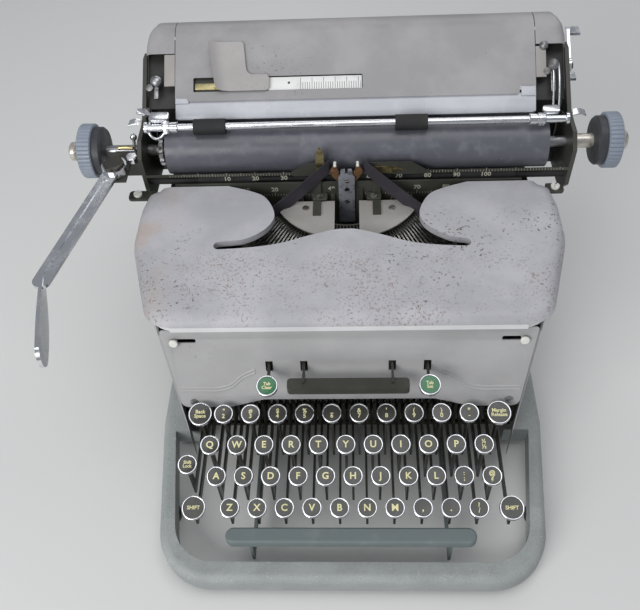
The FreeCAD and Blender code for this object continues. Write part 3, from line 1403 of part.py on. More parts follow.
os.makedirs("parts", exist_ok=True)
whole = FreeCAD.BoundBox()
for thing in sub_parts:
    thing.Shape.exportStep(f"parts/{thing.Label}.step")
    whole.add(thing.Shape.BoundBox)
print(len(sub_parts), "sub-parts", whole)
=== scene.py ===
import math

import bmesh
import bpy
from mathutils import Matrix, Vector
from mathutils.geometry import delaunay_2d_cdt


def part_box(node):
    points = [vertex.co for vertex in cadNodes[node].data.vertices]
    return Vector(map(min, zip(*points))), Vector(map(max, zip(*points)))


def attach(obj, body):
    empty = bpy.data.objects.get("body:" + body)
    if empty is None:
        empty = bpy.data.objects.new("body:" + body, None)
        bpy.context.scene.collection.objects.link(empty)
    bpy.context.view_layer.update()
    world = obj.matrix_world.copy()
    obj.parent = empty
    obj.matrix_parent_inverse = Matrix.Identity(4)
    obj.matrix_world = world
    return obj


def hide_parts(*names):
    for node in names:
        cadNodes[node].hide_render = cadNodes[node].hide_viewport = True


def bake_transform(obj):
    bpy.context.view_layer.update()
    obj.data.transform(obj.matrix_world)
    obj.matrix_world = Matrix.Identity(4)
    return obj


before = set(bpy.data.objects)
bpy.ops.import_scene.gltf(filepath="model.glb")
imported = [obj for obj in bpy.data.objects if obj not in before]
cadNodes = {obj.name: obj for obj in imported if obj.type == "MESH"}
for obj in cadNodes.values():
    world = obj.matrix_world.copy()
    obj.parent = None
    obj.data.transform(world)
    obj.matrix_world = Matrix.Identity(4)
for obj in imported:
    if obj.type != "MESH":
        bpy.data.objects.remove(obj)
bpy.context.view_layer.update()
mm = 0.001
print("frame loaded", len(cadNodes), "nodes")


# colours are written as 0-255 display values
def colour(red, green, blue):
    def channel(value):
        value = value / 255
        return value / 12.92 if value <= 0.04045 else ((value + 0.055) / 1.055) ** 2.4
    return (channel(red), channel(green), channel(blue), 1.0)


def boxOf(node):
    low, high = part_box(node)
    return Vector(low) / mm, Vector(high) / mm


# one material's nodes, all laid out on the object's own coordinates
class Shader:
    def __init__(self, name, base, rough, metal=0.0, coat=0.0, specular=0.5):
        self.material = bpy.data.materials.new(name)
        self.material.use_nodes = True
        self.tree = self.material.node_tree
        self.shader = self.tree.nodes["Principled BSDF"]
        self.place = self.add("ShaderNodeTexCoord", {}, "Object")
        self.fill(self.shader, {"Base Color": base, "Roughness": rough, "Metallic": metal, "Coat Weight": coat,
                                "Specular IOR Level": specular})

    def fill(self, node, values):
        # each input takes a plain value or another node's output
        for socket, value in values.items():
            if isinstance(value, bpy.types.NodeSocket):
                self.tree.links.new(value, node.inputs[socket])
            else:
                node.inputs[socket].default_value = value

    def add(self, kind, values, output, **settings):
        node = self.tree.nodes.new(kind)
        for name, value in settings.items():
            setattr(node, name, value)
        self.fill(node, values)
        return node.outputs[output]

    def axis(self, name):
        return self.add("ShaderNodeSeparateXYZ", {"Vector": self.place}, name)

    def noise(self, scale, detail=3.0, rough=0.55, distort=0.0):
        return self.add("ShaderNodeTexNoise", {"Vector": self.place, "Scale": scale, "Detail": detail,
                                               "Roughness": rough, "Distortion": distort}, "Fac")

    def ramp(self, value, low, high, first=0.0, second=1.0):
        return self.add("ShaderNodeMapRange", {"Value": value, "From Min": low, "From Max": high, "To Min": first,
                                               "To Max": second}, "Result", interpolation_type="SMOOTHSTEP")

    def math(self, kind, first, second):
        return self.add("ShaderNodeMath", {0: first, 1: second}, "Value", operation=kind)

    def times(self, first, second):
        return self.math("MULTIPLY", first, second)

    def mix(self, amount, first, second):
        return self.add("ShaderNodeMix", {0: amount, 6: first, 7: second}, 2, data_type="RGBA")

    def cover(self, tone, rough, height, strength, distance):
        normal = self.add("ShaderNodeBump", {"Height": height, "Strength": strength, "Distance": distance}, "Normal")
        self.fill(self.shader, {"Base Color": tone, "Roughness": rough, "Normal": normal})
        return self.material


# finishes
paintLook = {"mottle": 22, "fleck": 420, "spot": 150, "grain": 1500, "grainDepth": 0.12}


def agedPaint(name, base, light, fleck, amount, rough, spots=0.0, clusters=9.0):
    paint = Shader(name, base, rough, specular=0.45)
    mottle = paint.noise(paintLook["mottle"], 4, 0.6)
    tone = paint.mix(paint.ramp(mottle, 0.35, 0.68), base, light)
    cluster = paint.ramp(paint.noise(clusters, 3, 0.6), 0.5, 0.66)
    chips = paint.ramp(paint.noise(paintLook["fleck"], 2, 0.6), 0.66 - 0.05 * amount, 0.7 - 0.05 * amount)
    chips = paint.times(chips, cluster)
    tone = paint.mix(paint.times(chips, min(1.0, amount)), tone, fleck)
    if spots:
        worn = paint.noise(paintLook["spot"], 3, 0.7, 0.6)
        tone = paint.mix(paint.ramp(worn, 0.7, 0.74, 0.0, spots), tone, fleck)
    if name == "coverPaint":
        tone = rusted(paint, tone)
    gloss = paint.ramp(mottle, 0.3, 0.7, rough - 0.06, rough + 0.08)
    height = paint.math("SUBTRACT", paint.times(paint.noise(paintLook["grain"], 2, 0.5), 0.4), chips)
    return paint.cover(tone, paint.math("ADD", gloss, paint.times(chips, 0.25)), height, paintLook["grainDepth"],
                       0.0006)


def rusted(paint, tone):
    # fine rust over the front of the hood, and a brown stain at its left rear corner
    chips = paint.ramp(paint.noise(560, 3, 0.7), 0.56, 0.61)
    clumps = paint.ramp(paint.noise(20, 4, 0.65), 0.42, 0.6)
    belt = paint.ramp(paint.axis("Y"), -0.016, 0.004, 0.7, 0.1)
    tone = paint.mix(paint.times(paint.times(chips, clumps), belt), tone, colour(124, 102, 90))
    corner = paint.ramp(paint.axis("X"), -0.148, -0.112, 0.5, 0.0)
    stain = paint.times(corner, paint.ramp(paint.noise(34, 4, 0.6), 0.42, 0.62))
    return paint.mix(stain, tone, colour(182, 158, 138))


def cracklePaint(name, base, light, fleck):
    paint = Shader(name, base, 0.55, specular=0.4)
    fine = paint.noise(900, 3, 0.6)
    tone = paint.mix(paint.ramp(paint.noise(26, 4, 0.6), 0.35, 0.7), base, light)
    dots = paint.add("ShaderNodeTexVoronoi", {"Vector": paint.place, "Scale": 520}, "Distance", feature="F1")
    dots = paint.times(paint.ramp(dots, 0.16, 0.26, 1.0, 0.0), paint.ramp(paint.noise(240, 2, 0.5), 0.52, 0.62))
    tone = paint.mix(paint.times(dots, 0.6), tone, fleck)
    tone = paint.mix(paint.ramp(fine, 0.35, 0.5, 0.22, 0.0), tone, colour(84, 88, 88))
    return paint.cover(tone, paint.ramp(fine, 0.3, 0.7, 0.42, 0.66), fine, 0.45, 0.0007)


def wornMetal(name, base, dirt, rough, metal, dirtSize, dirtLow=0.48, dirtHigh=0.66):
    steel = Shader(name, base, rough, metal)
    grime = steel.noise(dirtSize, 4, 0.65)
    steel.fill(steel.shader, {"Metallic": steel.ramp(grime, dirtLow, dirtHigh, metal, metal * 0.6)})
    tone = steel.mix(steel.ramp(grime, dirtLow, dirtHigh), base, dirt)
    gloss = steel.ramp(grime, 0.3, 0.7, max(0.04, rough - 0.05), rough + 0.2)
    return steel.cover(tone, gloss, steel.noise(700, 3, 0.6), 0.08, 0.0004)


def plainGloss(name, base, dust, rough, coat=0.0, grainScale=500, grain=0.1):
    skin = Shader(name, base, rough, coat=coat)
    smear = skin.noise(70, 4, 0.6)
    tone = skin.mix(skin.ramp(smear, 0.5, 0.75, 0.0, 0.6), base, dust)
    return skin.cover(tone, skin.ramp(smear, 0.3, 0.7, rough - 0.08, rough + 0.12), skin.noise(grainScale, 2), grain,
                      0.0004)


# two or three tones, then the numbers that each kind of finish takes
finishPlan = {
    agedPaint: {
        "coverPaint": ((166, 165, 169), (182, 181, 185), (96, 84, 78), 1.0, 0.48, 0.5, 14),
        "panelPaint": ((164, 163, 163), (174, 173, 173), (92, 86, 82), 0.6, 0.5),
        "tablePaint": ((144, 142, 143), (160, 158, 159), (90, 86, 84), 0.5, 0.45),
        "deflectorPaint": ((182, 184, 190), (196, 198, 204), (110, 106, 104), 0.4, 0.26),
        "plateGrey": ((150, 146, 142), (166, 162, 158), (96, 88, 80), 0.5, 0.5),
        "darkPaint": ((52, 52, 46), (66, 66, 60), (120, 116, 104), 0.6, 0.42),
        "leverPaint": ((34, 33, 28), (56, 54, 46), (120, 112, 92), 0.8, 0.4),
        "bandPaint": ((214, 213, 214), (226, 225, 226), (150, 146, 142), 0.4, 0.45),
        # painted shade: a near-black tone for recesses, seam gaps and the undersides of the carriage's ends
        "recessPaint": ((40, 40, 38), (52, 52, 49), (96, 92, 84), 0.5, 0.5),
        "guidePaint": ((158, 155, 153), (171, 168, 166), (104, 98, 92), 0.4, 0.42)},
    cracklePaint: {
        "basePaint": ((150, 154, 153), (164, 168, 167), (212, 214, 213))},
    wornMetal: {
        "barSteel": ((186, 184, 178), (70, 66, 56), 0.3, 1.0, 120),
        "plainSteel": ((160, 160, 162), (86, 82, 78), 0.34, 1.0, 80),
        "vibratorSteel": ((120, 122, 126), (60, 60, 62), 0.42, 0.9, 220),
        "chromePlate": ((222, 223, 226), (110, 106, 102), 0.12, 1.0, 55, 0.6, 0.78),
        "brassPlate": ((196, 184, 138), (112, 98, 62), 0.32, 1.0, 160),
        "vibratorFace": ((150, 152, 160), (96, 96, 100), 0.5, 0.5, 220),
        "forkCopper": ((138, 104, 74), (66, 52, 42), 0.5, 0.7, 260),
        "buttonSteel": ((206, 200, 190), (112, 104, 92), 0.3, 0.8, 110),
        "darkSteel": ((74, 72, 68), (40, 38, 34), 0.45, 0.8, 120)},
    plainGloss: {
        "platenRubber": ((88, 89, 96), (116, 117, 124), 0.34, 0.0, 260, 0.15),
        "footRubber": ((30, 30, 31), (58, 56, 54), 0.7),
        "knobPlastic": ((134, 142, 155), (152, 160, 171), 0.42),
        "barPlastic": ((103, 113, 113), (120, 128, 128), 0.5),
        "keyPlastic": ((44, 44, 40), (70, 70, 62), 0.3, 0.3),
        "greenPlastic": ((28, 104, 62), (60, 122, 84), 0.3, 0.3),
        "legendPaint": ((226, 220, 168), (196, 188, 140), 0.5),
        "whitePaint": ((222, 221, 214), (180, 178, 168), 0.5),
        "ribbonCloth": ((46, 43, 50), (62, 58, 66), 0.75, 0.0, 1800, 0.4),
        "rulePaint": ((226, 226, 224), (190, 188, 184), 0.35),
        "markPaint": ((70, 70, 72), (110, 110, 112), 0.5),
        "drumRubber": ((52, 54, 58), (74, 76, 80), 0.5),
        "scaleInk": ((172, 170, 156), (130, 128, 114), 0.5)}}
finishes = {}
for makeFinish, rows in finishPlan.items():
    for name, row in rows.items():
        finishes[name] = makeFinish(name, *(colour(*item) if isinstance(item, tuple) else item for item in row))
print("finishes ready")

nodeLook = {
    "basePaint": "base_frame",
    "footRubber": "rubber_feet feed_roller_front feed_roller_rear bail_rollers",
    "darkPaint": "inner_frame type_segment type_guide ribbon_spool_left ribbon_spool_right card_holder front_scale"
                 " carriage_rail tabulator_bar carriage_frame carriage_scale line_space_housing",
    "panelPaint": "side_panels front_panel rear_panel",
    "coverPaint": "top_cover",
    "plateGrey": "segment_covers",
    "barSteel": "typebars",
    "vibratorSteel": "ribbon_vibrator",
    "ribbonCloth": "ribbon",
    "brassPlate": "card_finger_left card_finger_right",
    "leverPaint": "key_comb shift_keys back_space_key margin_release_key shift_lock_key tab_clear_key tab_set_key"
                  " bottom_row_levers home_row_levers upper_row_levers number_row_levers",
    "keyPlastic": "bottom_row_keys home_row_keys upper_row_keys number_row_keys",
    "barPlastic": "space_bar",
    "whitePaint": "ribbon_selector ribbon_reverse",
    "plainSteel": "spring_drum platen_shaft",
    "platenRubber": "platen",
    "knobPlastic": "knob_left knob_right",
    "chromePlate": "paper_bail return_lever carriage_release_left carriage_release_right margin_lever"
                   " paper_release_lever",
    "tablePaint": "paper_table paper_table_ends paper_guide",
    "deflectorPaint": "paper_deflector"}
for name, nodes in nodeLook.items():
    for node in nodes.split():
        cadNodes[node].data.materials.clear()
        cadNodes[node].data.materials.append(finishes[name])
print("node finishes set")


# shapes are given in mm; matrices and finished meshes are in metres
def at(x, y, z):
    return Matrix.Translation(Vector((x, y, z)) * mm)


def turned(degrees, axis):
    return Matrix.Rotation(math.radians(degrees), 4, axis)


def alongX(x, y, z, flip=False):
    return at(x, y, z) @ turned(90, "Y") @ turned(180 if flip else 0, "X")


# a plane that stands across the machine: its own x runs back and its own y upwards
standAcross = Matrix(((0, 0, 1, 0), (1, 0, 0, 0), (0, 1, 0, 0), (0, 0, 0, 1)))


def finishShape(build, name, smooth=35):
    bmesh.ops.remove_doubles(build, verts=build.verts, dist=1e-7)
    bmesh.ops.recalc_face_normals(build, faces=build.faces)
    mesh = bpy.data.meshes.new(name)
    build.to_mesh(mesh)
    build.free()
    mesh.shade_smooth()
    mesh.set_sharp_from_angle(angle=math.radians(smooth))
    return mesh


def newPiece(name, mesh, finish, body):
    piece = bpy.data.objects.new(name, mesh)
    bpy.context.scene.collection.objects.link(piece)
    mesh.materials.clear()
    mesh.materials.append(finishes[finish])
    if body:
        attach(piece, body)
    return piece


def builtPiece(name, build, finish, body, smooth=35):
    return newPiece(name, finishShape(build, name, smooth), finish, body)


def joinMeshes(parts, name, smooth=40):
    build = bmesh.new()
    for part in parts:
        build.from_mesh(part)
    return finishShape(build, name, smooth)


def meshOf(name, data):
    holder = bpy.data.objects.new(name, data)
    bpy.context.scene.collection.objects.link(holder)
    mesh = bpy.data.meshes.new_from_object(holder.evaluated_get(bpy.context.evaluated_depsgraph_get()))
    bpy.data.objects.remove(holder)
    return mesh


def latheInto(build, profile, steps=32, matrix=Matrix()):
    # profile runs from the axis outwards and back to it, or round a closed loop
    rings = []
    for radius, height in profile:
        turns = [2 * math.pi * step / steps for step in range(steps)] if radius > 1e-6 else [0.0]
        spots = [Vector((radius * math.cos(turn), radius * math.sin(turn), height)) * mm for turn in turns]
        rings.append([build.verts.new(matrix @ spot) for spot in spots])
    pairs = list(zip(rings, rings[1:]))
    if len(rings[0]) > 1:
        pairs.append((rings[-1], rings[0]))
    for first, second in pairs:
        for step in range(steps):
            ahead = (step + 1) % steps
            corners = [first[step % len(first)], first[ahead % len(first)],
                       second[ahead % len(second)], second[step % len(second)]]
            build.faces.new(list(dict.fromkeys(corners)))


def bevelled(build, edges, verts, bevel):
    cut = bmesh.ops.bevel(build, geom=edges, offset=bevel * mm, segments=2, affect="EDGES", profile=0.6)
    return {vert for face in cut["faces"] for vert in face.verts} | {vert for vert in verts if vert.is_valid}


def slabInto(build, low, high, bevel=0.3, matrix=Matrix()):
    made = bmesh.ops.create_cube(build, size=1.0)["verts"]
    low, high = Vector(low) * mm, Vector(high) * mm
    for vert in made:
        vert.co = Vector([low[i] + (high[i] - low[i]) * (vert.co[i] + 0.5) for i in range(3)])
    edges = list({edge for vert in made for edge in vert.link_edges})
    for vert in bevelled(build, edges, made, bevel):
        vert.co = matrix @ vert.co


def slabShape(name, low, high, bevel):
    build = bmesh.new()
    slabInto(build, low, high, bevel)
    return finishShape(build, name)


def plateInto(build, outline, thick, matrix=Matrix(), bevel=0.2):
    # an outline in the plane, padded upwards, its two rims bevelled
    low, high = ([build.verts.new((spot[0] * mm, spot[1] * mm, z * mm)) for spot in outline] for z in (0, thick))
    floor, roof = build.faces.new(low[::-1]), build.faces.new(high)
    for place in range(len(outline)):
        ahead = (place + 1) % len(outline)
        build.faces.new((low[place], low[ahead], high[ahead], high[place]))
    for vert in bevelled(build, list(floor.edges) + list(roof.edges), low + high, bevel):
        vert.co = matrix @ vert.co


def ringsInto(build, rings):
    # a closed skin over rings that have one number of points
    loops = [[build.verts.new(Vector(spot) * mm) for spot in ring] for ring in rings]
    for first, second in zip(loops, loops[1:]):
        for step in range(len(first)):
            near = (step + 1) % len(first)
            build.faces.new([first[step], first[near], second[near], second[step]])
    build.faces.new(loops[0])
    build.faces.new(loops[-1])


def ballInto(build, place, radius):
    turns = [math.radians(angle) for angle in range(-72, 90, 18)]
    profile = [(radius * math.cos(turn), radius * math.sin(turn)) for turn in turns]
    latheInto(build, [(0, -radius)] + profile + [(0, radius)], 20, at(*place))


def tubeMesh(points, radius, name, matrix=Matrix()):
    # a smooth rod along the points, its ends closed
    curve = bpy.data.curves.new(name, "CURVE")
    curve.dimensions = "3D"
    curve.bevel_depth = radius * mm
    curve.bevel_resolution = 4
    curve.use_fill_caps = True
    line = curve.splines.new("NURBS")
    line.points.add(len(points) - 1)
    for point, place in zip(line.points, points):
        point.co = (*(matrix @ (Vector(place) * mm)), 1.0)
    line.order_u = 3
    line.use_endpoint_u = True
    line.resolution_u = 8
    mesh = meshOf(name, curve)
    mesh.shade_smooth()
    mesh.set_sharp_from_angle(angle=math.radians(50))
    return mesh


def flatPlate(name, outlines, thick, matrix, bevel=0.15):
    # a plate with round rims, its holes given as further outlines
    curve = bpy.data.curves.new(name, "CURVE")
    curve.dimensions = "2D"
    curve.fill_mode = "BOTH"
    curve.extrude = (thick / 2 - bevel) * mm
    curve.bevel_depth = bevel * mm
    curve.bevel_resolution = 1
    curve.offset = -bevel * mm
    for outline in outlines:
        line = curve.splines.new("POLY")
        line.points.add(len(outline) - 1)
        for point, spot in zip(line.points, outline):
            point.co = (spot[0] * mm, spot[1] * mm, 0, 1)
        line.use_cyclic_u = True
    mesh = meshOf(name, curve)
    mesh.transform(matrix @ at(0, 0, thick / 2))
    return joinMeshes([mesh], name)


# one tree sets a shape on every point, turned and stretched by the points' own attributes
def makeRepeatTree():
    tree = bpy.data.node_groups.new("repeatOnPoints", "GeometryNodeTree")
    for name, way, kind in (("Points", "INPUT", "Geometry"), ("Shape", "INPUT", "Object"),
                            ("Finish", "INPUT", "Material"), ("Geometry", "OUTPUT", "Geometry")):
        tree.interface.new_socket(name, in_out=way, socket_type="NodeSocket" + kind)
    kinds = {"inputs": "NodeGroupInput", "shape": "GeometryNodeObjectInfo", "turn": "GeometryNodeInputNamedAttribute",
             "stretch": "GeometryNodeInputNamedAttribute", "toTurn": "FunctionNodeEulerToRotation",
             "spread": "GeometryNodeInstanceOnPoints", "plain": "GeometryNodeRealizeInstances",
             "finish": "GeometryNodeSetMaterial", "output": "NodeGroupOutput"}
    nodes = {name: tree.nodes.new(kind) for name, kind in kinds.items()}
    nodes["shape"].inputs["As Instance"].default_value = True
    for name in ("turn", "stretch"):
        nodes[name].data_type = "FLOAT_VECTOR"
        nodes[name].inputs["Name"].default_value = name
    for first, leaving, second, entering in (
            ("inputs", "Points", "spread", "Points"), ("inputs", "Shape", "shape", "Object"),
            ("shape", "Geometry", "spread", "Instance"), ("turn", "Attribute", "toTurn", "Euler"),
            ("toTurn", "Rotation", "spread", "Rotation"), ("stretch", "Attribute", "spread", "Scale"),
            ("spread", "Instances", "plain", "Geometry"), ("plain", "Geometry", "finish", "Geometry"),
            ("inputs", "Finish", "finish", "Material"), ("finish", "Geometry", "output", "Geometry")):
        tree.links.new(nodes[first].outputs[leaving], nodes[second].inputs[entering])
    return tree


repeatTree = makeRepeatTree()


def repeatShape(name, shape, places, body, finish, turns=None, stretches=None):
    # places are in mm
    base = bpy.data.meshes.new(name + "Points")
    base.from_pydata([tuple(Vector(place) * mm) for place in places], [], [])
    for word, values, rest in (("turn", turns, (0, 0, 0)), ("stretch", stretches, (1, 1, 1))):
        data = base.attributes.new(word, "FLOAT_VECTOR", "POINT").data
        for index in range(len(places)):
            data[index].vector = values[index] if values else rest
    pattern = bpy.data.objects.new(name + "Shape", shape)
    holder = bpy.data.objects.new(name + "Holder", base)
    for item in (pattern, holder):
        bpy.context.scene.collection.objects.link(item)
    modifier = holder.modifiers.new("repeat", "NODES")
    modifier.node_group = repeatTree
    sockets = {item.name: item.identifier for item in repeatTree.interface.items_tree if item.in_out == "INPUT"}
    modifier[sockets["Shape"]] = pattern
    modifier[sockets["Finish"]] = finishes[finish]
    holder.update_tag()
    mesh = bpy.data.meshes.new_from_object(holder.evaluated_get(bpy.context.evaluated_depsgraph_get()))
    mesh.name = name
    holder.modifiers.remove(modifier)
    bpy.data.objects.remove(holder)
    bpy.data.objects.remove(pattern)
    mesh.shade_smooth()
    mesh.set_sharp_from_angle(angle=math.radians(35))
    return newPiece(name, mesh, finish, body)


def lettersInto(build, text, size, matrix, bold, bend=None):
    curve = bpy.data.curves.new("letters", "FONT")
    curve.body = text
    curve.size = size * mm
    curve.align_x, curve.align_y = "CENTER", "CENTER"
    curve.extrude = 0.06 * mm
    curve.offset = bold * mm
    curve.space_line = 0.85
    curve.resolution_u = 3
    mesh = meshOf("letters", curve)
    for vert in mesh.vertices:
        place = vert.co.copy()
        if bend:
            place.z += bend(math.hypot(place.x, place.y))
        vert.co = matrix @ place
    build.from_mesh(mesh)
    bpy.data.meshes.remove(mesh)


def facing(normal, spin=0.0):
    quaternion = Vector(normal).to_track_quat("Z", "Y")
    return (quaternion.to_matrix() @ Matrix.Rotation(math.radians(spin), 3, "Z")).to_euler()


def slottedHead(radius, tall, slot):
    # a low cheese head, its slot along x, seated on z = 0
    build = bmesh.new()
    reach = math.acos(slot / 2 / radius)
    for side in (-1, 1):
        turns = [reach * (step / 8 - 1) for step in range(17)]
        outline = [(radius * math.sin(turn) * side, radius * math.cos(turn) * side) for turn in turns]
        plateInto(build, outline, tall, bevel=radius * 0.12)
    inner = radius * 0.93
    latheInto(build, [(0, tall * 0.35), (inner, tall * 0.35), (inner, -tall * 0.4), (0, -tall * 0.4)], 24)
    return finishShape(build, "screwHead")


def screwsOn(name, body, spots, radius, finish, tall=1.2, slot=0.7, normal=(0, 0, 1)):
    # each spot is its place and the turn of its slot
    repeatShape(name, slottedHead(radius, tall, slot), [spot[:3] for spot in spots], body, finish,
                [facing(normal, spot[3]) for spot in spots])


# outlines and lines
def rectangle(left, low, right, high):
    return [(left, low), (right, low), (right, high), (left, high)]


def placed(matrix, *spot):
    return matrix @ (Vector(spot) * mm) / mm


def roundOutline(width, tall, radius, steps=5):
    points = []
    for cornerX, cornerY, start in ((1, 1, 0), (-1, 1, 90), (-1, -1, 180), (1, -1, 270)):
        for step in range(steps + 1):
            turn = math.radians(start + 90 * step / steps)
            points.append(Vector((cornerX * (width / 2 - radius) + radius * math.cos(turn),
                                  cornerY * (tall / 2 - radius) + radius * math.sin(turn))))
    return points


def roundedPath(corners, radii, pitch=2.0):
    # a closed outline whose corners are turned into arcs
    points, count = [], len(corners)
    for place, (corner, radius) in enumerate(zip(corners, radii)):
        corner = Vector(corner)
        back = (Vector(corners[place - 1]) - corner).normalized()
        ahead = (Vector(corners[(place + 1) % count]) - corner).normalized()
        half = back.angle(ahead) / 2
        if radius <= 0 or half > 1.56:
            points.append(corner)
            continue
        reach = radius / math.tan(half)
        centre = corner + (back + ahead).normalized() * radius / math.sin(half)
        first, last = corner + back * reach - centre, corner + ahead * reach - centre
        turn = first.angle_signed(last)
        steps = max(3, int(abs(turn) * radius / pitch) + 1)
        for step in range(steps + 1):
            angle = -turn * step / steps
            points.append(centre + Vector((first.x * math.cos(angle) - first.y * math.sin(angle),
                                           first.x * math.sin(angle) + first.y * math.cos(angle))))
    return points


def evenPath(points, pitch, closed=True):
    # the same line with no step longer than the pitch
    spread = []
    for first, second in zip(points, points[1:] + points[:1] if closed else points[1:]):
        first, second = Vector(first), Vector(second)
        steps = max(1, math.ceil((second - first).length / pitch))
        spread += [first.lerp(second, step / steps) for step in range(steps)]
    return spread if closed else spread + [Vector(points[-1])]


def bezierPath(first, pullFirst, pullLast, last, steps=12):
    line = []
    for step in range(steps + 1):
        t = step / steps
        line.append(Vector(first) * (1 - t) ** 3 + Vector(pullFirst) * 3 * t * (1 - t) ** 2
                    + Vector(pullLast) * 3 * t * t * (1 - t) + Vector(last) * t ** 3)
    return line


def splinePath(points, steps=6):
    # a smooth open line through its points
    points = [Vector(point) for point in points]
    ends = [points[0] * 2 - points[1]] + points + [points[-1] * 2 - points[-2]]
    line = []
    for a, b, c, d in zip(ends, ends[1:], ends[2:], ends[3:]):
        for step in range(steps):
            t = step / steps
            line.append(b + (c - a) * t / 2 + (a * 2 - b * 5 + c * 4 - d) * t * t / 2
                        + (b * 3 - a - c * 3 + d) * t ** 3 / 2)
    return line + [points[-1]]


def stationsOf(line, start=0.0):
    stations = [start]
    for first, second in zip(line, line[1:]):
        stations.append(stations[-1] + (second - first).length)
    return stations


def insideOutline(point, outline):
    inside = False
    for first, second in zip(outline, outline[1:] + outline[:1]):
        if (first[1] > point[1]) != (second[1] > point[1]):
            cross = first[0] + (point[1] - first[1]) * (second[0] - first[0]) / (second[1] - first[1])
            inside ^= point[0] < cross
    return inside


def offEdge(point, first, second):
    span = second - first
    share = max(0.0, min(1.0, (point - first).dot(span) / max(span.length_squared, 1e-12)))
    return (point - first - span * share).length


def offOutline(point, outline):
    return min(offEdge(point, first, second) for first, second in zip(outline, outline[1:] + outline[:1]))


def sheetInto(build, outline, place, pitch=5.0, thick=1.2, holes=(), extra=()):
    # a sheet over a flat region, laid in space by place(u, v), padded inwards
    loops = [evenPath([Vector(spot) for spot in loop], pitch) for loop in (outline, *holes)]
    points, edges = [], []
    for loop in loops:
        start = len(points)
        points += loop
        edges += [(start + step, start + (step + 1) % len(loop)) for step in range(len(loop))]
    low = Vector((min(point.x for point in loops[0]), min(point.y for point in loops[0])))
    high = Vector((max(point.x for point in loops[0]), max(point.y for point in loops[0])))

    def onSheet(point):
        return insideOutline(point, loops[0]) and not any(insideOutline(point, hole) for hole in loops[1:])

    inner = list(extra)
    for row in range(1, int((high.y - low.y) / pitch) + 1):
        for column in range(1, int((high.x - low.x) / pitch) + 1):
            inner.append(low + Vector((column + 0.5 * (row % 2) - 0.25, row)) * pitch)
    points += [point for point in inner
               if onSheet(point) and min(offOutline(point, loop) for loop in loops) > pitch * 0.35]
    flat, _, faces = delaunay_2d_cdt(points, edges, [], 0, 1e-5)[:3]
    verts = {}
    for face in faces:
        if not onSheet(sum((flat[index] for index in face), Vector((0, 0))) / len(face)):
            continue
        for index in face:
            if index not in verts:
                verts[index] = build.verts.new(Vector(place(flat[index].x, flat[index].y)) * mm)
        build.faces.new([verts[index] for index in face])
    if thick:
        made = list({face for vert in verts.values() for face in vert.link_faces})
        bmesh.ops.solidify(build, geom=made, thickness=thick * mm)


def slabPiece(name, slabs, finish, body, bevel=0.3, matrix=Matrix()):
    build = bmesh.new()
    for low, high in slabs:
        slabInto(build, low, high, bevel, matrix)
    return builtPiece(name, build, finish, body)


def lathePiece(name, profile, finish, body, steps, matrix):
    build = bmesh.new()
    latheInto(build, profile, steps, matrix)
    return builtPiece(name, build, finish, body)


# keyboard: rings, faces and legends on the CAD keys
keyLook = {
    "tilt": 15.0, "radius": 6.8, "wideRadius": 8.3, "tabRadius": 7.2, "rimWide": 1.05, "rimHigh": 0.25,
    "skirt": 3.35, "dish": 0.2, "letterSize": 6.6, "pairSize": 4.3, "wideWord": 3.6, "smallWord": 3.1,
    "letterBold": 0.14, "legendDrop": 0.22}
keyRows = {
    "number_row": ["\"\n2", "#\n3", "$\n4", "%\n5", "_\n6", "&\n7", "'\n8", "(\n9", ")\n0", "*\n-"],
    "upper_row": [*"QWERTYUIOP", "¼\n½"],
    "home_row": [*"ASDFGHJKL", ":\n;", "@\n¢"],
    "bottom_row": [*"ZXCVBNM,.", "?\n/"]}
keySingles = {
    "back_space_key": ("back_space", ["Back\nSpace"], "wideRadius"),
    "margin_release_key": ("margin_release", ["Margin\nRelease"], "wideRadius"),
    "shift_lock_key": ("shift_lock", ["Shift\nLock"], "radius"),
    "shift_keys": ("shift", ["SHIFT", "SHIFT"], "wideRadius"),
    "tab_clear_key": ("tab_clear", ["Tab\nClear"], "tabRadius"),
    "tab_set_key": ("tab_set", ["Tab\nSet"], "tabRadius")}


def keyPlaces(node, count, radius):
    low, high = boxOf(node)
    tilt = math.radians(keyLook["tilt"])
    y, z = low.y + radius * math.cos(tilt), high.z - radius * math.sin(tilt)
    if count == 1:
        return [Vector(((low.x + high.x) / 2, y, z))]
    span = high.x - low.x - 2 * radius
    return [Vector((low.x + radius + span * place / (count - 1), y, z)) for place in range(count)]


def keyShapes(radius):
    rim, high, skirt, dish = (keyLook[word] for word in ("rimWide", "rimHigh", "skirt", "dish"))
    inner, outer = radius - rim, radius + 0.06
    ring, face = bmesh.new(), bmesh.new()
    latheInto(ring, [(inner, -0.3), (inner + 0.12, high * 0.55), (inner + 0.4, high), (outer - 0.35, high * 0.9),
                     (outer - 0.08, high * 0.2), (outer, -0.3), (outer, -skirt + 0.3), (outer - 0.25, -skirt),
                     (inner, -skirt)], 48)
    top = [(inner * (1 - place / 6), -0.28 + dish * ((1 - place / 6) ** 2 - 1)) for place in range(7)]
    latheInto(face, [(0, -skirt + 0.4), (inner, -skirt + 0.4)] + top, 40)
    return finishShape(ring, "keyRing", 60), finishShape(face, "keyFace", 60)


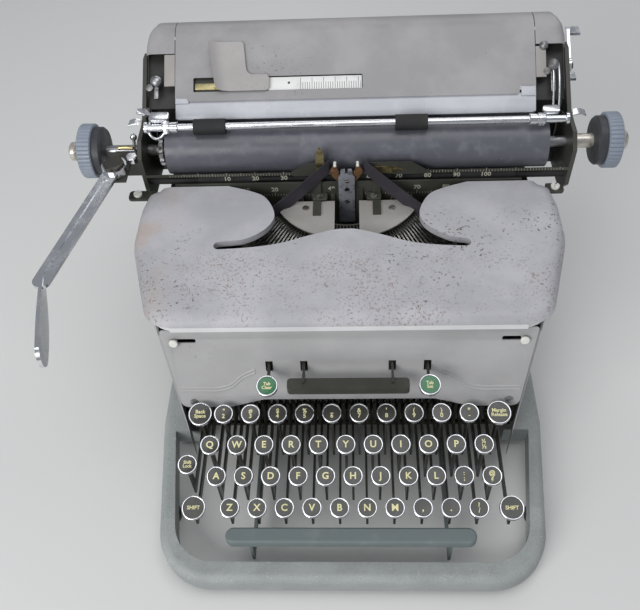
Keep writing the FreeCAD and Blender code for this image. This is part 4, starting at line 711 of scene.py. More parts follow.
def dressKeys(node, body, legends, radius, finish, wordSize=0.0):
    places = keyPlaces(node, len(legends), radius)
    turns = [(math.radians(keyLook["tilt"]), 0, 0)] * len(places)
    inner, dish = (radius - keyLook["rimWide"]) * mm, keyLook["dish"] * mm
    for word, shape, shapeFinish in zip(("Rings", "Faces"), keyShapes(radius), ("chromePlate", finish)):
        repeatShape(body + word + node[:3], shape, places, body, shapeFinish, turns)

    def sink(out):
        return dish * (min(1.0, out / inner) ** 2 - 1)

    build = bmesh.new()
    for place, legend in zip(places, legends):
        size = {1: keyLook["letterSize"], 3: keyLook["pairSize"]}.get(len(legend), wordSize)
        matrix = at(*place) @ turned(keyLook["tilt"], "X") @ at(0, 0, -keyLook["legendDrop"])
        lettersInto(build, legend, size, matrix, keyLook["letterBold"] * min(1, size / 6), sink)
    builtPiece(body + "Legends" + node[:3], build, "legendPaint", body, 30)


def makeKeys():
    for row, legends in keyRows.items():
        dressKeys(row + "_keys", row, legends, keyLook["radius"], "keyPlastic")
    for node, (body, legends, radius) in keySingles.items():
        finish = "greenPlastic" if node.startswith("tab") else "keyPlastic"
        word = "wideWord" if radius == "wideRadius" else "smallWord"
        dressKeys(node, body, legends, keyLook[radius], finish, keyLook[word])
    print("keys dressed")


# the hood: a rounded sheet with the butterfly opening and a pale band under its rim
hoodLook = {
    "halfFront": 131.0, "half": 151.8, "halfBack": 148.0, "frontY": -64.3, "backY": 62.0, "wideY": 8.0,
    "narrowY": 40.0, "creaseY": -15.0, "topZ": 175.4, "rollZ": 167.0, "frontFall": 3.4, "roll": 10.0,
    "bandInset": 3.6, "bandZ": 159.8, "bandSideZ": 153.2, "rimTall": 4.5, "wall": 1.5, "pitch": 5.0, "rowPitch": 4.0,
    "rows": (0.35, 1.2, 2.6, 4.6, 7.2, 10.5), "lobeHalf": 88.0, "lobeX": 51.7, "lobeY": 31.0, "hornLeft": 89.0,
    "hornRight": 81.5, "hornY": 1.0, "hornRadius": 3.6, "humpY": 15.5,
    "frontFrom": -45, "frontHalf": 112, "backFrom": 55, "bandFrom": -40, "bandOver": 15}


def hoodOutline(inset=0.0):
    look = hoodLook
    front, half, back = look["halfFront"] - inset, look["half"] - inset, look["halfBack"] - inset
    low, high = look["frontY"] + inset, look["backY"] - inset
    right = [(front, low), (half, look["wideY"]), (half, look["narrowY"]), (back, high)]
    radii = [20 - inset, 60, 20, 8]
    return roundedPath([(-x, y) for x, y in right[::-1]] + right, radii[::-1] + radii, 4.0)


def openingEdge():
    look = hoodLook
    back, hornY, hornR = look["backY"], look["hornY"], look["hornRadius"]
    lobeX, lobeY, fall = look["lobeX"], look["lobeY"], look["humpY"] - hornY + hornR
    lobes, crests = [], []
    for side, hornX in ((1, look["hornRight"]), (-1, look["hornLeft"])):
        lobe = [(look["lobeHalf"], back), (lobeX + 18, back - 6.5), (lobeX + 7, lobeY + 17), (lobeX, lobeY),
                (lobeX + 5, lobeY - 13.5), (lobeX + 19, hornY + 6.2), (hornX, hornY + hornR)]
        crests.append([(side * hornX * share, hornY - hornR + rise * fall)
                       for share, rise in ((1, 0), (0.76, 0.08), (0.53, 0.27), (0.29, 0.68), (0.1, 0.96))])
        tip = [Vector((hornX + hornR * math.sin(turn), hornY + hornR * math.cos(turn)))
               for turn in (math.pi * step / 6 for step in range(1, 6))]
        lobes.append([Vector((side * point.x, point.y)) for point in splinePath(lobe) + tip])
    return lobes[0] + splinePath(crests[0] + [(0, look["humpY"])] + crests[1][::-1]) + lobes[1][::-1]


def makeHood():
    look = hoodLook
    outer, roll = hoodOutline(), look["rollZ"]

    def onHood(x, y):
        top = look["topZ"] - look["frontFall"] * max(0.0, look["creaseY"] - y) / (look["creaseY"] - look["frontY"])
        off = min(offEdge(Vector((x, y)), first, second) for first, second in zip(outer, outer[1:]))
        share = max(0.0, 1 - off / look["roll"])
        return (x, y, top - (top - roll) * (1 - math.sqrt(max(0.0, 1 - share * share))))

    rows = []
    for inset in look["rows"]:
        rows += evenPath(hoodOutline(inset), look["rowPitch"], closed=False)
    build = bmesh.new()
    sheetInto(build, outer + openingEdge(), onHood, look["pitch"], 0, extra=rows)
    bmesh.ops.recalc_face_normals(build, faces=build.faces)
    rim = evenPath(outer, look["rowPitch"], closed=False)

    def onRim(vert):
        near = min((vert.co.xy / mm - point).length for point in rim) < 0.3
        return near and abs(vert.co.z / mm - roll) < 0.5

    border = [edge for edge in build.edges if edge.is_boundary]
    outerEdges = [edge for edge in border if all(onRim(vert) for vert in edge.verts)]
    openEdges = [edge for edge in border if edge not in outerEdges]

    def extrudeDown(edges, moves):
        for move in moves:
            made = bmesh.ops.extrude_edge_only(build, edges=edges)["geom"]
            for vert in {item for item in made if isinstance(item, bmesh.types.BMVert)}:
                vert.co = move(vert.co)
            edges = [item for item in made if isinstance(item, bmesh.types.BMEdge) and item.is_boundary
                     and all(vert in made for vert in item.verts)]

    def lower(depth):
        return lambda place: place - Vector((0, 0, depth * mm))

    def shrink(amount, low):
        # inwards by the amount, down to a height or to one that depends on y
        def move(place):
            x, y = place.x / mm, place.y / mm
            toward = Vector((-math.copysign(1, x), 0))
            if y < look["frontFrom"]:
                flat = abs(x) < look["frontHalf"]
                toward = Vector((-x * 0.006, 1)) if flat else Vector((-math.copysign(0.7, x), 0.75))
            elif y > look["backFrom"]:
                toward = Vector((0, -1))
            return Vector((x + toward.x * amount, y + toward.y * amount, low(y) if callable(low) else low)) * mm
        return move

    def bandLow(y):
        share = max(0.0, min(1.0, (look["bandFrom"] - y) / look["bandOver"]))
        return look["bandSideZ"] + (look["bandZ"] - look["bandSideZ"]) * share

    extrudeDown(outerEdges, [shrink(0.5, roll - 0.5), shrink(look["bandInset"] - 0.6, roll - 0.6),
                             shrink(0.1, roll - 1.0), shrink(0.0, bandLow)])
    extrudeDown(openEdges, [lower(0.5), lower(look["rimTall"])])
    bmesh.ops.remove_doubles(build, verts=build.verts, dist=1e-6)
    bmesh.ops.recalc_face_normals(build, faces=build.faces)
    if sum(face.normal.z * face.calc_area() for face in build.faces) < 0:
        bmesh.ops.reverse_faces(build, faces=build.faces)
    bmesh.ops.solidify(build, geom=list(build.faces), thickness=look["wall"] * mm)
    hood = builtPiece("hood", build, "coverPaint", "chassis", 38)
    hood.data.materials.append(finishes["bandPaint"])
    for face in hood.data.polygons:
        if face.center.z < (roll - 0.55) * mm:
            face.material_index = 1
    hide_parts("top_cover")


# the leaning front panel
panelLook = {
    "halfTop": 124.8, "halfLow": 119.6, "topY": -59.6, "topZ": 159.0, "tall": 72.6, "lean": 11.7, "thick": 1.2,
    "lobeInner": 85.0, "archHalf": 60.0, "archRise": 65.0, "slotX": 109.6, "slotDrop": 9.2, "slotWide": 16.4,
    "slotTall": 3.6, "notches": (-53.8, -30, 30, 53.8), "notchZ": 127.0, "notchHalf": 2.5, "notchAbove": 4.4,
    "notchBelow": 5.0, "screws": ((-110.3, 93.5), (112.0, 94.4)), "beadZ": 104.0, "beadLift": 0.75,
    "bead": ((118.6, 0), (104, 0), (92, 0), (82, 3.4), (73, 12.2), (64, 17.4)), "tipX": 5.6}


def panelMatrix():
    return at(0, panelLook["topY"], panelLook["topZ"]) @ turned(90 - panelLook["lean"], "X")


def panelDrop(z):
    return (panelLook["topZ"] - z) / math.cos(math.radians(panelLook["lean"]))


def makeFrontPanel():
    look = panelLook
    lean = math.radians(look["lean"])
    right = [(look["archHalf"], -look["archRise"]), (look["lobeInner"], -look["tall"]),
             (look["halfLow"], -look["tall"]), (look["halfTop"], 0)]
    outlines = [roundedPath([(-x, y) for x, y in right[::-1]] + right, [2, 6, 4, 6, 6, 4, 6, 2])]
    middle = -panelDrop(look["notchZ"])
    low, high = middle - look["notchBelow"], middle + look["notchAbove"]
    for x in look["notches"]:
        outlines.append(rectangle(x - look["notchHalf"], low, x + look["notchHalf"], high))
    for side in (-1, 1):
        spot = Vector((side * look["slotX"], -look["slotDrop"]))
        outlines.append([point + spot for point in roundOutline(look["slotWide"], look["slotTall"], 1.2)])
    mesh = flatPlate("frontPanel", outlines, look["thick"], panelMatrix())
    panel = newPiece("frontPanel", mesh, "panelPaint", "chassis")
    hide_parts("front_panel")
    spots = [(*placed(panelMatrix(), x, -panelDrop(z), look["thick"]), 25) for x, z in look["screws"]]
    screwsOn("panelScrews", "chassis", spots, 2.8, "plainSteel", normal=(0, -math.cos(lean), math.sin(lean)))
    ridges = []
    for side in (-1, 1):
        for rise in (0.0, 3.0):
            line = splinePath([(side * x, rise - panelDrop(look["beadZ"]) + up) for x, up in look["bead"]])
            points = [(spot.x, spot.y, look["beadLift"]) for spot in line]
            ridges.append(tubeMesh(points, 1.0, "panelRidge", panelMatrix()))
    newPiece("panelBeads", joinMeshes(ridges, "panelBeads"), "panelPaint", "chassis")
    for node, body, side in (("ribbon_reverse", "reverse_lever", -1), ("ribbon_selector", "colour_selector", 1)):
        x = side * (look["slotX"] + look["tipX"])
        build = bmesh.new()
        slabInto(build, (x - 1.2, -10.1, -6), (x + 1.2, -8.5, 3.2), 0.3, panelMatrix())
        latheInto(build, [(0, 0), (2.6, 0), (3.0, 0.4), (3.0, 1.4), (2.5, 1.9), (0, 2.1)], 24,
                  panelMatrix() @ at(x + side * 0.7, -9.3, 2.6))
        lever = builtPiece(node.replace("_", "") + "Tip", build, "whitePaint", body)
        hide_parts(node)
    print("hood and panel made")


# paper table: one sheet from its low apron over the rolled top, its ends, slot, guide and deflector
tableLook = {
    "left": -126.0, "right": 138.0, "seamY": 117.0, "seamZ": 225.5, "slope": 35.0, "apron": -12.2, "topY": 148.0,
    "backY": 177.9, "backZ": 228.2, "thick": 1.3, "pitch": 5.0, "slotLeft": -112.4, "slotRight": 12.6, "slotLow": -5.2,
    "slotHigh": 5.6, "barEnd": -57.0, "firstMark": -33.0, "markPitch": 1.7, "markCount": 27}
capLook = {"low": 24.5, "left": -148.9, "right": 160.9, "roll": 5.0, "wall": 4.5, "taper": 5.3, "near": 0.5,
           "riseOver": 26, "narrowFrom": 40, "narrow": 9, "bulge": 0.96}
guideLook = {"left": -100.5, "right": -56.1, "step": -72.5, "low": -5.6, "middle": 6.6, "high": 31.7, "lean": 5.5,
             "lift": 1.8, "curl": 4.2, "curlWide": 11.0}
deflectorLook = {
    "thick": 1.0, "platenGap": 2.3, "steps": ((-126.0, -116.0), (127.6, 138.0)), "stepPlace": (107.0, 216.4),
    "stepWide": 8, "edge": ((109.6, 217.6), (107.2, 216.6), (103.0, 213.0), (99.2, 209.6), (98.6, 208.4),
                            (99.4, 207.4))}


def tableMatrix():
    return at(0, tableLook["seamY"], tableLook["seamZ"]) @ turned(tableLook["slope"], "X")


def tableProfile():
    # distances along the sheet and its points (y, z), from the apron's edge to the back
    look = tableLook
    slope = math.radians(look["slope"])
    along = Vector((math.cos(slope), math.sin(slope)))
    start = Vector((look["seamY"], look["seamZ"]))
    top = start + along * (look["topY"] - look["seamY"]) / math.cos(slope)
    back = Vector((look["backY"], look["backZ"]))
    points = [start + along * look["apron"]] + bezierPath(top, top + along * 13, back + Vector((0, 18)), back, 16)
    return stationsOf(points, look["apron"]), points


tableStations, tablePoints = tableProfile()


def onTable(u, s, drop=0.0):
    # the sheet's point at a distance along it, lowered square to the sheet
    for index in range(len(tableStations) - 2):
        if s <= tableStations[index + 1]:
            break
    first, second = tablePoints[index], tablePoints[index + 1]
    along = (second - first).normalized()
    spot = first + along * (s - tableStations[index])
    if index > 0:
        share = (s - tableStations[index]) / max(1e-6, tableStations[index + 1] - tableStations[index])
        before = (first - tablePoints[index - 1]).normalized()
        after = (tablePoints[index + 2] - second).normalized()
        along = ((before + along) * (1 - share) + (along + after) * share).normalized()
    return (u, spot.x + along.y * drop, spot.y - along.x * drop)


def rowsAcross(stations):
    return [Vector((x, s)) for s in stations[1:-1] for x in range(-123, 138, 5)]


def makeTable():
    look = tableLook
    left, right, end = look["left"], look["right"], tableStations[-1]
    slotLeft, slotRight, slotLow, slotHigh = (look["slot" + word] for word in ("Left", "Right", "Low", "High"))
    corners = [(left, -9.2), (-117.0, -9.2), (-116.6, look["apron"]), (126.0, look["apron"]), (126.4, -6.0),
               (right, -6.0), (right, end), (left, end)]
    slot = rectangle(slotLeft, slotLow, slotRight, slotHigh)
    outline = roundedPath(corners, [0.5, 1.5, 1.5, 1.5, 1.0, 0.5, 1, 1])
    build = bmesh.new()
    sheetInto(build, outline, onTable, look["pitch"], look["thick"], [roundedPath(slot, [1] * 4)],
              rowsAcross(tableStations))
    table = builtPiece("paperTableSheet", build, "tablePaint", "carriage", 30)
    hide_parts("paper_table")

    # the slot's floor, its brass bar and its ruled white strip
    turn = tableMatrix()
    slabPiece("tableSlotFloor", [((slotLeft - 2, slotLow - 2, -3.4), (slotRight + 2, slotHigh + 2, -2.6))],
              "darkPaint", "carriage", 0.2, turn)
    slabPiece("tableSlotBar", [((slotLeft + 0.9, -3.0, -2.6), (look["barEnd"], 1.8, -1.2))], "brassPlate", "carriage",
              0.5, turn)
    slabPiece("tableRule", [((look["barEnd"], slotLow + 0.5, -2.6), (slotRight - 0.5, slotHigh - 0.5, -1.0))],
              "rulePaint", "carriage", 0.3, turn)
    marks = range(look["markCount"])
    places = [placed(turn, look["firstMark"] + look["markPitch"] * mark, slotLow + 0.8, -1.0) for mark in marks]
    repeatShape("tableRuleMarks", slabShape("ruleTick", (-0.16, 0, 0), (0.16, 1, 0.06), 0.02), places, "carriage",
                "markPaint", [turn.to_euler()] * len(places), [(1, 5.2 if mark % 5 else 8.6, 1) for mark in marks])
    lathePiece("tableRuleDot", [(0, 0), (0.9, 0), (0.9, 0.25), (0, 0.3)], "markPaint", "carriage", 16,
               turn @ at(-41.6, 0.6, -1.0))
    makeCaps()
    slabPiece("tableSidePlates", [((-134.3, 0, -1.5), (-126.4, 24, -0.3)), ((138.4, 0, -1.5), (145.8, 23, -0.3))],
              "plateGrey", "carriage", 0.3, turn)
    # dark sheets at the table's ends, under its seams and behind them: painted shade in the recesses
    build = bmesh.new()
    for spans, near, far, matrix in ((((-148.7, -126.4), (138.4, 160.7)), (-14, -10.9), (35, -9.7), turn),
                                     (((-128.6, -124.0), (136.0, 140.6)), (16, -3.4), (36, -2.2), turn),
                                     (((-148.7, -112.0), (124.0, 160.7)), (118.4, 153), (119.6, 213), Matrix())):
        for low, high in spans:
            slabInto(build, (low, *near), (high, *far), 0.3, matrix)
    builtPiece("carriageWebs", build, "recessPaint", "carriage")
    makeDeflector()
    print("paper table made")


def makeCaps():
    # the table's rounded ends
    look, end = capLook, tableStations[-1]
    low, roll = look["low"], look["roll"]
    quarter = roll * math.pi / 2
    build = bmesh.new()
    for side, seam, edge in ((-1, tableLook["left"] - look["near"], look["left"]),
                             (1, tableLook["right"] + look["near"], look["right"])):
        full = abs(edge - seam)
        flat = full - roll

        def onCap(out, s, side=side, seam=seam, full=full, flat=flat):
            rise = max(0.0, min(1.0, (s - low) / look["riseOver"]))
            back = max(0.0, min(1.0, (s - look["narrowFrom"]) / (end - look["narrowFrom"])))
            bulge = 1 - math.sqrt(1 - look["bulge"] * back * back)
            narrow = look["taper"] * rise * rise + look["narrow"] * bulge
            across, drop = out, 0.0
            if out > flat + quarter:
                across, drop = full, roll + out - flat - quarter
            elif out > flat:
                angle = (out - flat) / roll
                across, drop = flat + roll * math.sin(angle), roll * (1 - math.cos(angle))
            return onTable(seam + side * across * (1 - narrow / full), s, drop)

        reach = flat + quarter + look["wall"]
        outs = (4, 8, 12, 16, flat, full - roll * 0.6, full - roll * 0.25, full, full + roll * 0.4)
        rows = [Vector((out, s)) for s in tableStations[1:-1] for out in outs if s > low + 1]
        sheetInto(build, rectangle(0, low, reach, end), onCap, 4.0, tableLook["thick"], extra=rows)
    caps = builtPiece("tableEndCaps", build, "tablePaint", "carriage", 45)
    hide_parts("paper_table_ends")


def makeDeflector():
    # a bright band below the table, curling round behind the platen
    look = deflectorLook
    low, high = boxOf("platen")
    centre = Vector(((low.y + high.y) / 2, (low.z + high.z) / 2))
    radius = (high.z - low.z) / 2 + look["platenGap"]
    line = [Vector(spot) for spot in look["edge"]]
    line += [centre + radius * Vector((math.cos(turn), math.sin(turn)))
             for turn in (math.radians(angle) for angle in range(52, -25, -8))]
    stations = stationsOf(line)

    def onDeflector(u, s):
        index = max(place for place in range(len(line) - 1) if stations[place] <= s + 1e-9)
        share = (s - stations[index]) / (stations[index + 1] - stations[index])
        spot = line[index].lerp(line[index + 1], share)
        return (u, spot.x, spot.y)

    left, right, reach = tableLook["left"], tableLook["right"], stations[-1]
    build = bmesh.new()
    sheetInto(build, rectangle(left, 0, right, reach), onDeflector, tableLook["pitch"],
              -look["thick"], extra=rowsAcross(stations))
    for low, high in look["steps"]:
        plateInto(build, rectangle(0, 0, high - low, look["stepWide"]), look["thick"],
                  at(low, *look["stepPlace"]) @ turned(tableLook["slope"], "X"))
    deflector = builtPiece("deflectorSheet", build, "deflectorPaint", "carriage", 40)
    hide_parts("paper_deflector")


def makeGuide():
    look = guideLook
    left, right, step, low, high = (look[word] for word in ("left", "right", "step", "low", "high"))
    outline = roundedPath([(left + look["lean"], low), (right, low), (right, look["middle"]), (step, look["middle"]),
                           (step - 2.5, high), (left, high)], [5, 2.5, 2.5, 5, 2.5, 1.5])

    def onGuide(u, v):
        edge = left + look["lean"] * (high - v) / (high - low)
        curl = max(0.0, 1 - (u - edge) / look["curlWide"])
        spot = tableMatrix().to_3x3() @ Vector((u, v, look["lift"] + look["curl"] * curl * curl))
        return Vector((0, tableLook["seamY"], tableLook["seamZ"])) + spot

    build = bmesh.new()
    sheetInto(build, outline, onGuide, 3.0, 1.1)
    guide = builtPiece("edgeGuide", build, "guidePaint", "edge_guide", 40)
    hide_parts("paper_guide")


# type basket: cover plates, typebar rows, vibrator, ribbon and the two scales
basketLook = {
    "centreY": 74.4, "plateRadius": 57.6, "plateZ": 163.1, "plateThick": 1.4, "plateNear": 9.0, "plateBack": 55.6,
    "barRadius": 59.0, "barFirst": 20.0, "barLast": 63.0, "barCount": 19, "barLong": 28.0, "barHalf": 0.675,
    "barTurn": 0.62, "barReach": 82, "barZ": 159.3, "barFall": 6.0, "toothRadius": 56.6,
    "footX": 20, "footY": 57.6, "footZ": 165.9}


def makeSegment():
    look = basketLook
    centre, back, footZ = look["centreY"], look["plateBack"], look["footZ"]

    def onArc(side, radius, turn):
        return (side * radius * math.sin(turn), centre - radius * math.cos(turn))

    meshes = []
    for side in (-1, 1):
        outline = [onArc(side, look["plateRadius"], math.radians(9 + 5 * step)) for step in range(11)]
        outline += [(side * 44, 50), (side * 38, back), (side * look["plateNear"], back)]
        meshes.append(flatPlate("segmentPlate", [outline], look["plateThick"], at(0, 0, look["plateZ"])))
    plates = newPiece("segmentPlates", joinMeshes(meshes, "segmentPlates"), "plateGrey", "chassis")
    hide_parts("segment_covers")
    top = look["plateZ"] + look["plateThick"]
    screwsOn("segmentScrews", "chassis", [(-30.4, 47.9, top, 60), (33, 46.9, top, -50)], 2.5, "barSteel", 0.9)
    feet = [flatPlate("holderFoot", [roundedPath(rectangle(x - 5.5, 54.6, x + 5.5, 62.4), [1.5] * 4)], 1.0,
                      at(0, 0, footZ))
            for x in (-look["footX"], look["footX"])]
    newPiece("holderFeet", joinMeshes(feet, "holderFeet"), "darkPaint", "chassis")
    spots = [(x, look["footY"], footZ + 1, spin) for x, spin in ((-look["footX"], 15), (look["footX"], -30))]
    screwsOn("holderScrews", "chassis", spots, 2.4, "barSteel", 0.9)

    # a bright strip on each typebar's back, and the dark comb teeth between them
    bar = slabShape("typebarStrip", (-look["barHalf"], -look["barLong"], -0.7), (look["barHalf"], 0, 0.7), 0.3)
    tooth = slabShape("segmentTooth", (-0.35, -6.0, -2.4), (0.35, 1.5, 1.6), 0.2)
    bars, barTurns, teeth, toothTurns = [], [], [], []
    for side in (-1, 1):
        for step in range(look["barCount"]):
            share = step / (look["barCount"] - 1)
            angle = math.radians(look["barFirst"] + (look["barLast"] - look["barFirst"]) * share)
            turn = angle * look["barTurn"]
            start = (*onArc(side, look["barRadius"], angle), look["barZ"])
            if abs(start[0]) + look["barLong"] * math.sin(turn) < look["barReach"]:
                bars.append(start)
                barTurns.append((Matrix.Rotation(side * turn, 4, "Z") @ turned(look["barFall"], "X")).to_euler())
            teeth.append((*onArc(side, look["toothRadius"], angle), look["barZ"]))
            toothTurns.append((0, 0, side * angle))
    repeatShape("typebarStrips", bar, bars, "chassis", "barSteel", barTurns)
    repeatShape("segmentTeeth", tooth, teeth, "chassis", "darkPaint", toothTurns)
    print("type segment dressed")


# the plate by the right half of its outline, the two forks by the right one, with their corner radii
vibratorLook = {
    "y": 61.3, "plate": ((6, 138), (6, 183), (4.2, 186), (4.2, 190.5), (0.9, 190.5), (0.9, 186.2)),
    "plateRadii": (1, 2, 1, 1, 0.3, 0.8), "plateThick": 1.2, "forkThick": 1.0, "forkBack": -1.4,
    "fork": ((5.2, 176), (10.4, 183), (12.2, 187.5), (8.8, 194.4), (7.0, 194.4), (6.6, 190), (5.2, 187)),
    "forkRadii": (1, 2, 1.5, 0.6, 0.6, 1, 1), "screws": ((180, 10), (172, 100), (160, 40)), "screwY": 60.1,
    "pinX": 8.2, "pinY": 62.4, "pinZ": 193.6,
    "pin": ((0, -2.2), (1.1, -2.2), (1.1, 1.8), (0.5, 2.2), (0, 2.2))}


def makeVibrator():
    look = vibratorLook
    stand = at(0, look["y"], 0) @ turned(90, "X")
    right, radii = list(look["plate"]), list(look["plateRadii"])
    outline = roundedPath([(-6, 138)] + right + [(-x, y) for x, y in right[:0:-1]], [1] + radii + radii[:0:-1], 1.0)
    mesh = flatPlate("vibratorPlate", [outline], look["plateThick"], stand)
    meshes, build = [], bmesh.new()
    for side in (-1, 1):
        fork = roundedPath([(side * x, y) for x, y in look["fork"]], look["forkRadii"], 1.0)
        meshes.append(flatPlate("vibratorFork", [fork], look["forkThick"], stand @ at(0, 0, look["forkBack"])))
        latheInto(build, look["pin"], 14, at(side * look["pinX"], look["pinY"], look["pinZ"])
                  @ facing((0, -1, 0)).to_matrix().to_4x4())
    newPiece("vibratorForks", joinMeshes(meshes, "vibratorForks"), "forkCopper", "vibrator")
    plate = newPiece("vibratorPlate", mesh, "vibratorFace", "vibrator")
    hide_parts("ribbon_vibrator")
    spots = [(0, look["screwY"], z, spin) for z, spin in look["screws"]]
    screwsOn("vibratorScrews", "vibrator", spots, 1.9, "barSteel", 0.7, 0.5, (0, -1, 0))
    builtPiece("vibratorPins", build, "whitePaint", "vibrator")


ribbonLook = {"low": (76, 32.6, 147), "high": (12.6, 64.6, 184), "steps": 14, "sag": 2.2, "lean": 1.1, "tall": 12.6,
              "narrow": 0.8, "half": (0.16, 0.3, 0)}


def makeRibbon():
    look = ribbonLook
    for side, name in ((-1, "ribbonLeft"), (1, "ribbonRight")):
        mirror = Vector((side, 1, 1))
        low, high, across = (Vector(look[word]) * mirror for word in ("low", "high", "half"))
        rings = []
        for step in range(look["steps"] + 1):
            share = step / look["steps"]
            bow = math.sin(math.pi * share)
            spot = low.lerp(high, share) - Vector((0, 0, look["sag"] * bow))
            lean = Vector((0, look["lean"] * bow, look["tall"] - look["narrow"] * share))
            rings.append([spot + shift for shift in (-across, across, across + lean, lean - across)])
        build = bmesh.new()
        ringsInto(build, rings)
        strip = builtPiece(name, build, "ribbonCloth", None)
        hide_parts("ribbon")
        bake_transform(strip)
    print("vibrator and ribbon made")


scalePlan = {
    "frontScale": {"node": "front_scale", "body": "chassis", "top": 175.8, "numberZ": 169.6, "tickZ": 163.4,
                   "shift": 45.4, "pitch": 2.117, "numbers": (0, 10, 20, 40, 60, 70, 80, 90)},
    "rearScale": {"node": "carriage_scale", "body": "carriage", "top": 182.6, "numberZ": 177.8, "tickZ": 180.4,
                  "shift": 51.9, "pitch": 2.12, "numbers": (10, 20, 30, 40, 60, 70, 80, 90, 100)}}


def makeScales():
    tick = ((-0.17, -0.03, 0), (0.17, 0.02, 1), 0.01)
    for name, plan in scalePlan.items():
        node, body, shift, pitch = plan["node"], plan["body"], plan["shift"], plan["pitch"]
        low, high = boxOf(node)
        strip = slabPiece(name, [(low, (high.x, high.y, plan["top"]))], "darkPaint", body, 0.2)
        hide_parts(node)
        marks = [mark for mark in range(-10, 130) if low.x + 2 < (mark - shift) * pitch < high.x - 2]
        places = [((mark - shift) * pitch, low.y, plan["tickZ"]) for mark in marks]
        stretches = [(1, 1, 1.7 if mark % 5 else 2.6 if mark % 10 else 3.4) for mark in marks]
        repeatShape(name + "Ticks", slabShape("scaleTick", *tick), places, body, "scaleInk", None, stretches)
        build = bmesh.new()
        for number in plan["numbers"]:
            place = at((number - shift) * pitch, low.y - 0.01, plan["numberZ"])
            lettersInto(build, str(number), 5.2, place @ turned(90, "X"), 0.12)
        builtPiece(name + "Numbers", build, "scaleInk", body)
    print("scales marked")


# knobs: a ribbed ring, a button in front of it and a drum behind
knobLook = {
    "y": 89.6, "z": 188.6, "radius": 20.4, "ribDeep": 0.75, "ribCount": 40, "wide": 10.4,
    "sides": ((-1, "knobLeft", -209.2, 10.6), (1, "knobRight", 205.7, 7.4)),
    "drum": ((0, 0), (17.8, 0), (17.8, 5.6), (16.4, 7.2), (5.6, 7.6), (0, 7.8)),
    "sleeve": ((0, 0), (4.9, 0), (5.3, 0.5), (5.3, 13.4), (4.6, 14.0), (0, 14.2)), "sleeveX": 167.4}


def makeKnobs():
    look = knobLook
    y, z, deep, steps = look["y"], look["z"], look["ribDeep"], look["ribCount"] * 6
    for side, name, outer, tall in look["sides"]:
        face = outer - side * tall
        inner = face - side * look["wide"]
        rings = []
        for x, inset in ((inner, 0.9), (inner + side * 0.7, 0.1), (face - side * 1.4, 0), (face - side * 0.5, 0.4),
                         (face, 1.4)):
            rings.append([])
            for turn in (2 * math.pi * step / steps for step in range(steps)):
                rib = deep * min(1, 1.6 * abs(math.cos(turn * look["ribCount"] / 2)))
                radius = look["radius"] - deep + rib - inset
                rings[-1].append((x, y + radius * math.cos(turn), z + radius * math.sin(turn)))
        build = bmesh.new()
        ringsInto(build, rings)
        knob = builtPiece(name, build, "knobPlastic", "platen_roll", 30)
        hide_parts("knob_left" if side < 0 else "knob_right")
        proud = abs(outer - face) + 0.3
        profile = [(0, 0), (17.2, 0), (17.8, 0.5), (17.0, 1.2), (5.2, 1.8), (4.6, 2.4), (4.6, proud - 5.6),
                   (6.6, proud - 5.2), (7.2, proud - 4.2), (6.8, proud - 1.4), (5.4, proud - 0.2), (0, proud)]
        lathePiece(name + "Button", profile, "buttonSteel", "platen_roll", 40,
                   alongX(face - side * 0.4, y, z, side < 0))
        lathePiece(name + "Drum", look["drum"], "drumRubber", "platen_roll", 40,
                   alongX(inner + side * 0.4, y, z, side > 0))
    lathePiece("shaftSleeve", look["sleeve"], "buttonSteel", "platen_roll", 32, alongX(look["sleeveX"], y, z))
    print("knobs made")


# paper bail: knurled collars, the plates at its ends and a bent wire
bailLook = {
    "y": 84.4, "z": 212.7, "collarR": 4.2, "collars": ((-132.9, -121.6), (130.2, 141.8)), "knurls": (-131.9, 137.2),
    "plates": (((-143.2, 87, -129, 96.5), 2, 3.4, 214.6, 0.5), ((140.4, 86.6, 152.1, 94.4), 2.4, 3.2, 214.4, 0.6)),
    "ribCount": 28, "wireR": 1.1, "fin": ((0, 0), (10, 0), (6.5, 4.4), (5.2, 9.2), (0.6, 10.2), (-0.6, 4.4)),
    "finRadii": (0.8, 1, 2, 1.5, 1.5, 1.5), "finThick": 1.8, "finPlace": (-143.2, 93.4, 216.0),
    "wire": ((-142, 89, 215.4), (-144.2, 85, 212.4), (-142.8, 81.4, 208), (-138.6, 80.6, 205), (-134, 82.6, 206.2),
             (-131.6, 84, 210))}


def makeBailFittings():
    look = bailLook
    y, z, radius, count = look["y"], look["z"], look["collarR"], look["ribCount"]
    build = bmesh.new()
    for low, high in look["collars"]:
        long = high - low
        latheInto(build, [(0, 0), (radius * 0.86, 0), (radius, 0.6), (radius, long * 0.42), (radius * 0.9, long * 0.46),
                          (radius * 0.9, long * 0.52), (radius, long * 0.56), (radius, long - 0.6),
                          (radius * 0.86, long), (0, long)], 28, alongX(low, y, z))
    builtPiece("bailCollars", build, "chromePlate", "bail")
    rounds = [(low, 2 * math.pi * step / count) for low in look["knurls"] for step in range(count)]
    places = [(low, y - radius * math.sin(turn), z + radius * math.cos(turn)) for low, turn in rounds]
    repeatShape("collarKnurl", slabShape("collarRib", (0, -0.22, -0.2), (3.6, 0.22, 0.25), 0.1), places, "bail",
                "chromePlate", [(turn, 0, 0) for _, turn in rounds])
    build = bmesh.new()
    for corners, rounding, thick, base, bevel in look["plates"]:
        plateInto(build, roundedPath(rectangle(*corners), [rounding] * 4), thick, at(0, 0, base), bevel)
    plateInto(build, roundedPath(look["fin"], look["finRadii"], 1.0), look["finThick"],
              at(*look["finPlace"]) @ turned(104, "Z") @ turned(24, "X"), 0.3)
    builtPiece("bailEnds", build, "chromePlate", "bail")
    newPiece("bailWire", tubeMesh(look["wire"], look["wireR"], "bailWire"), "chromePlate", "bail")


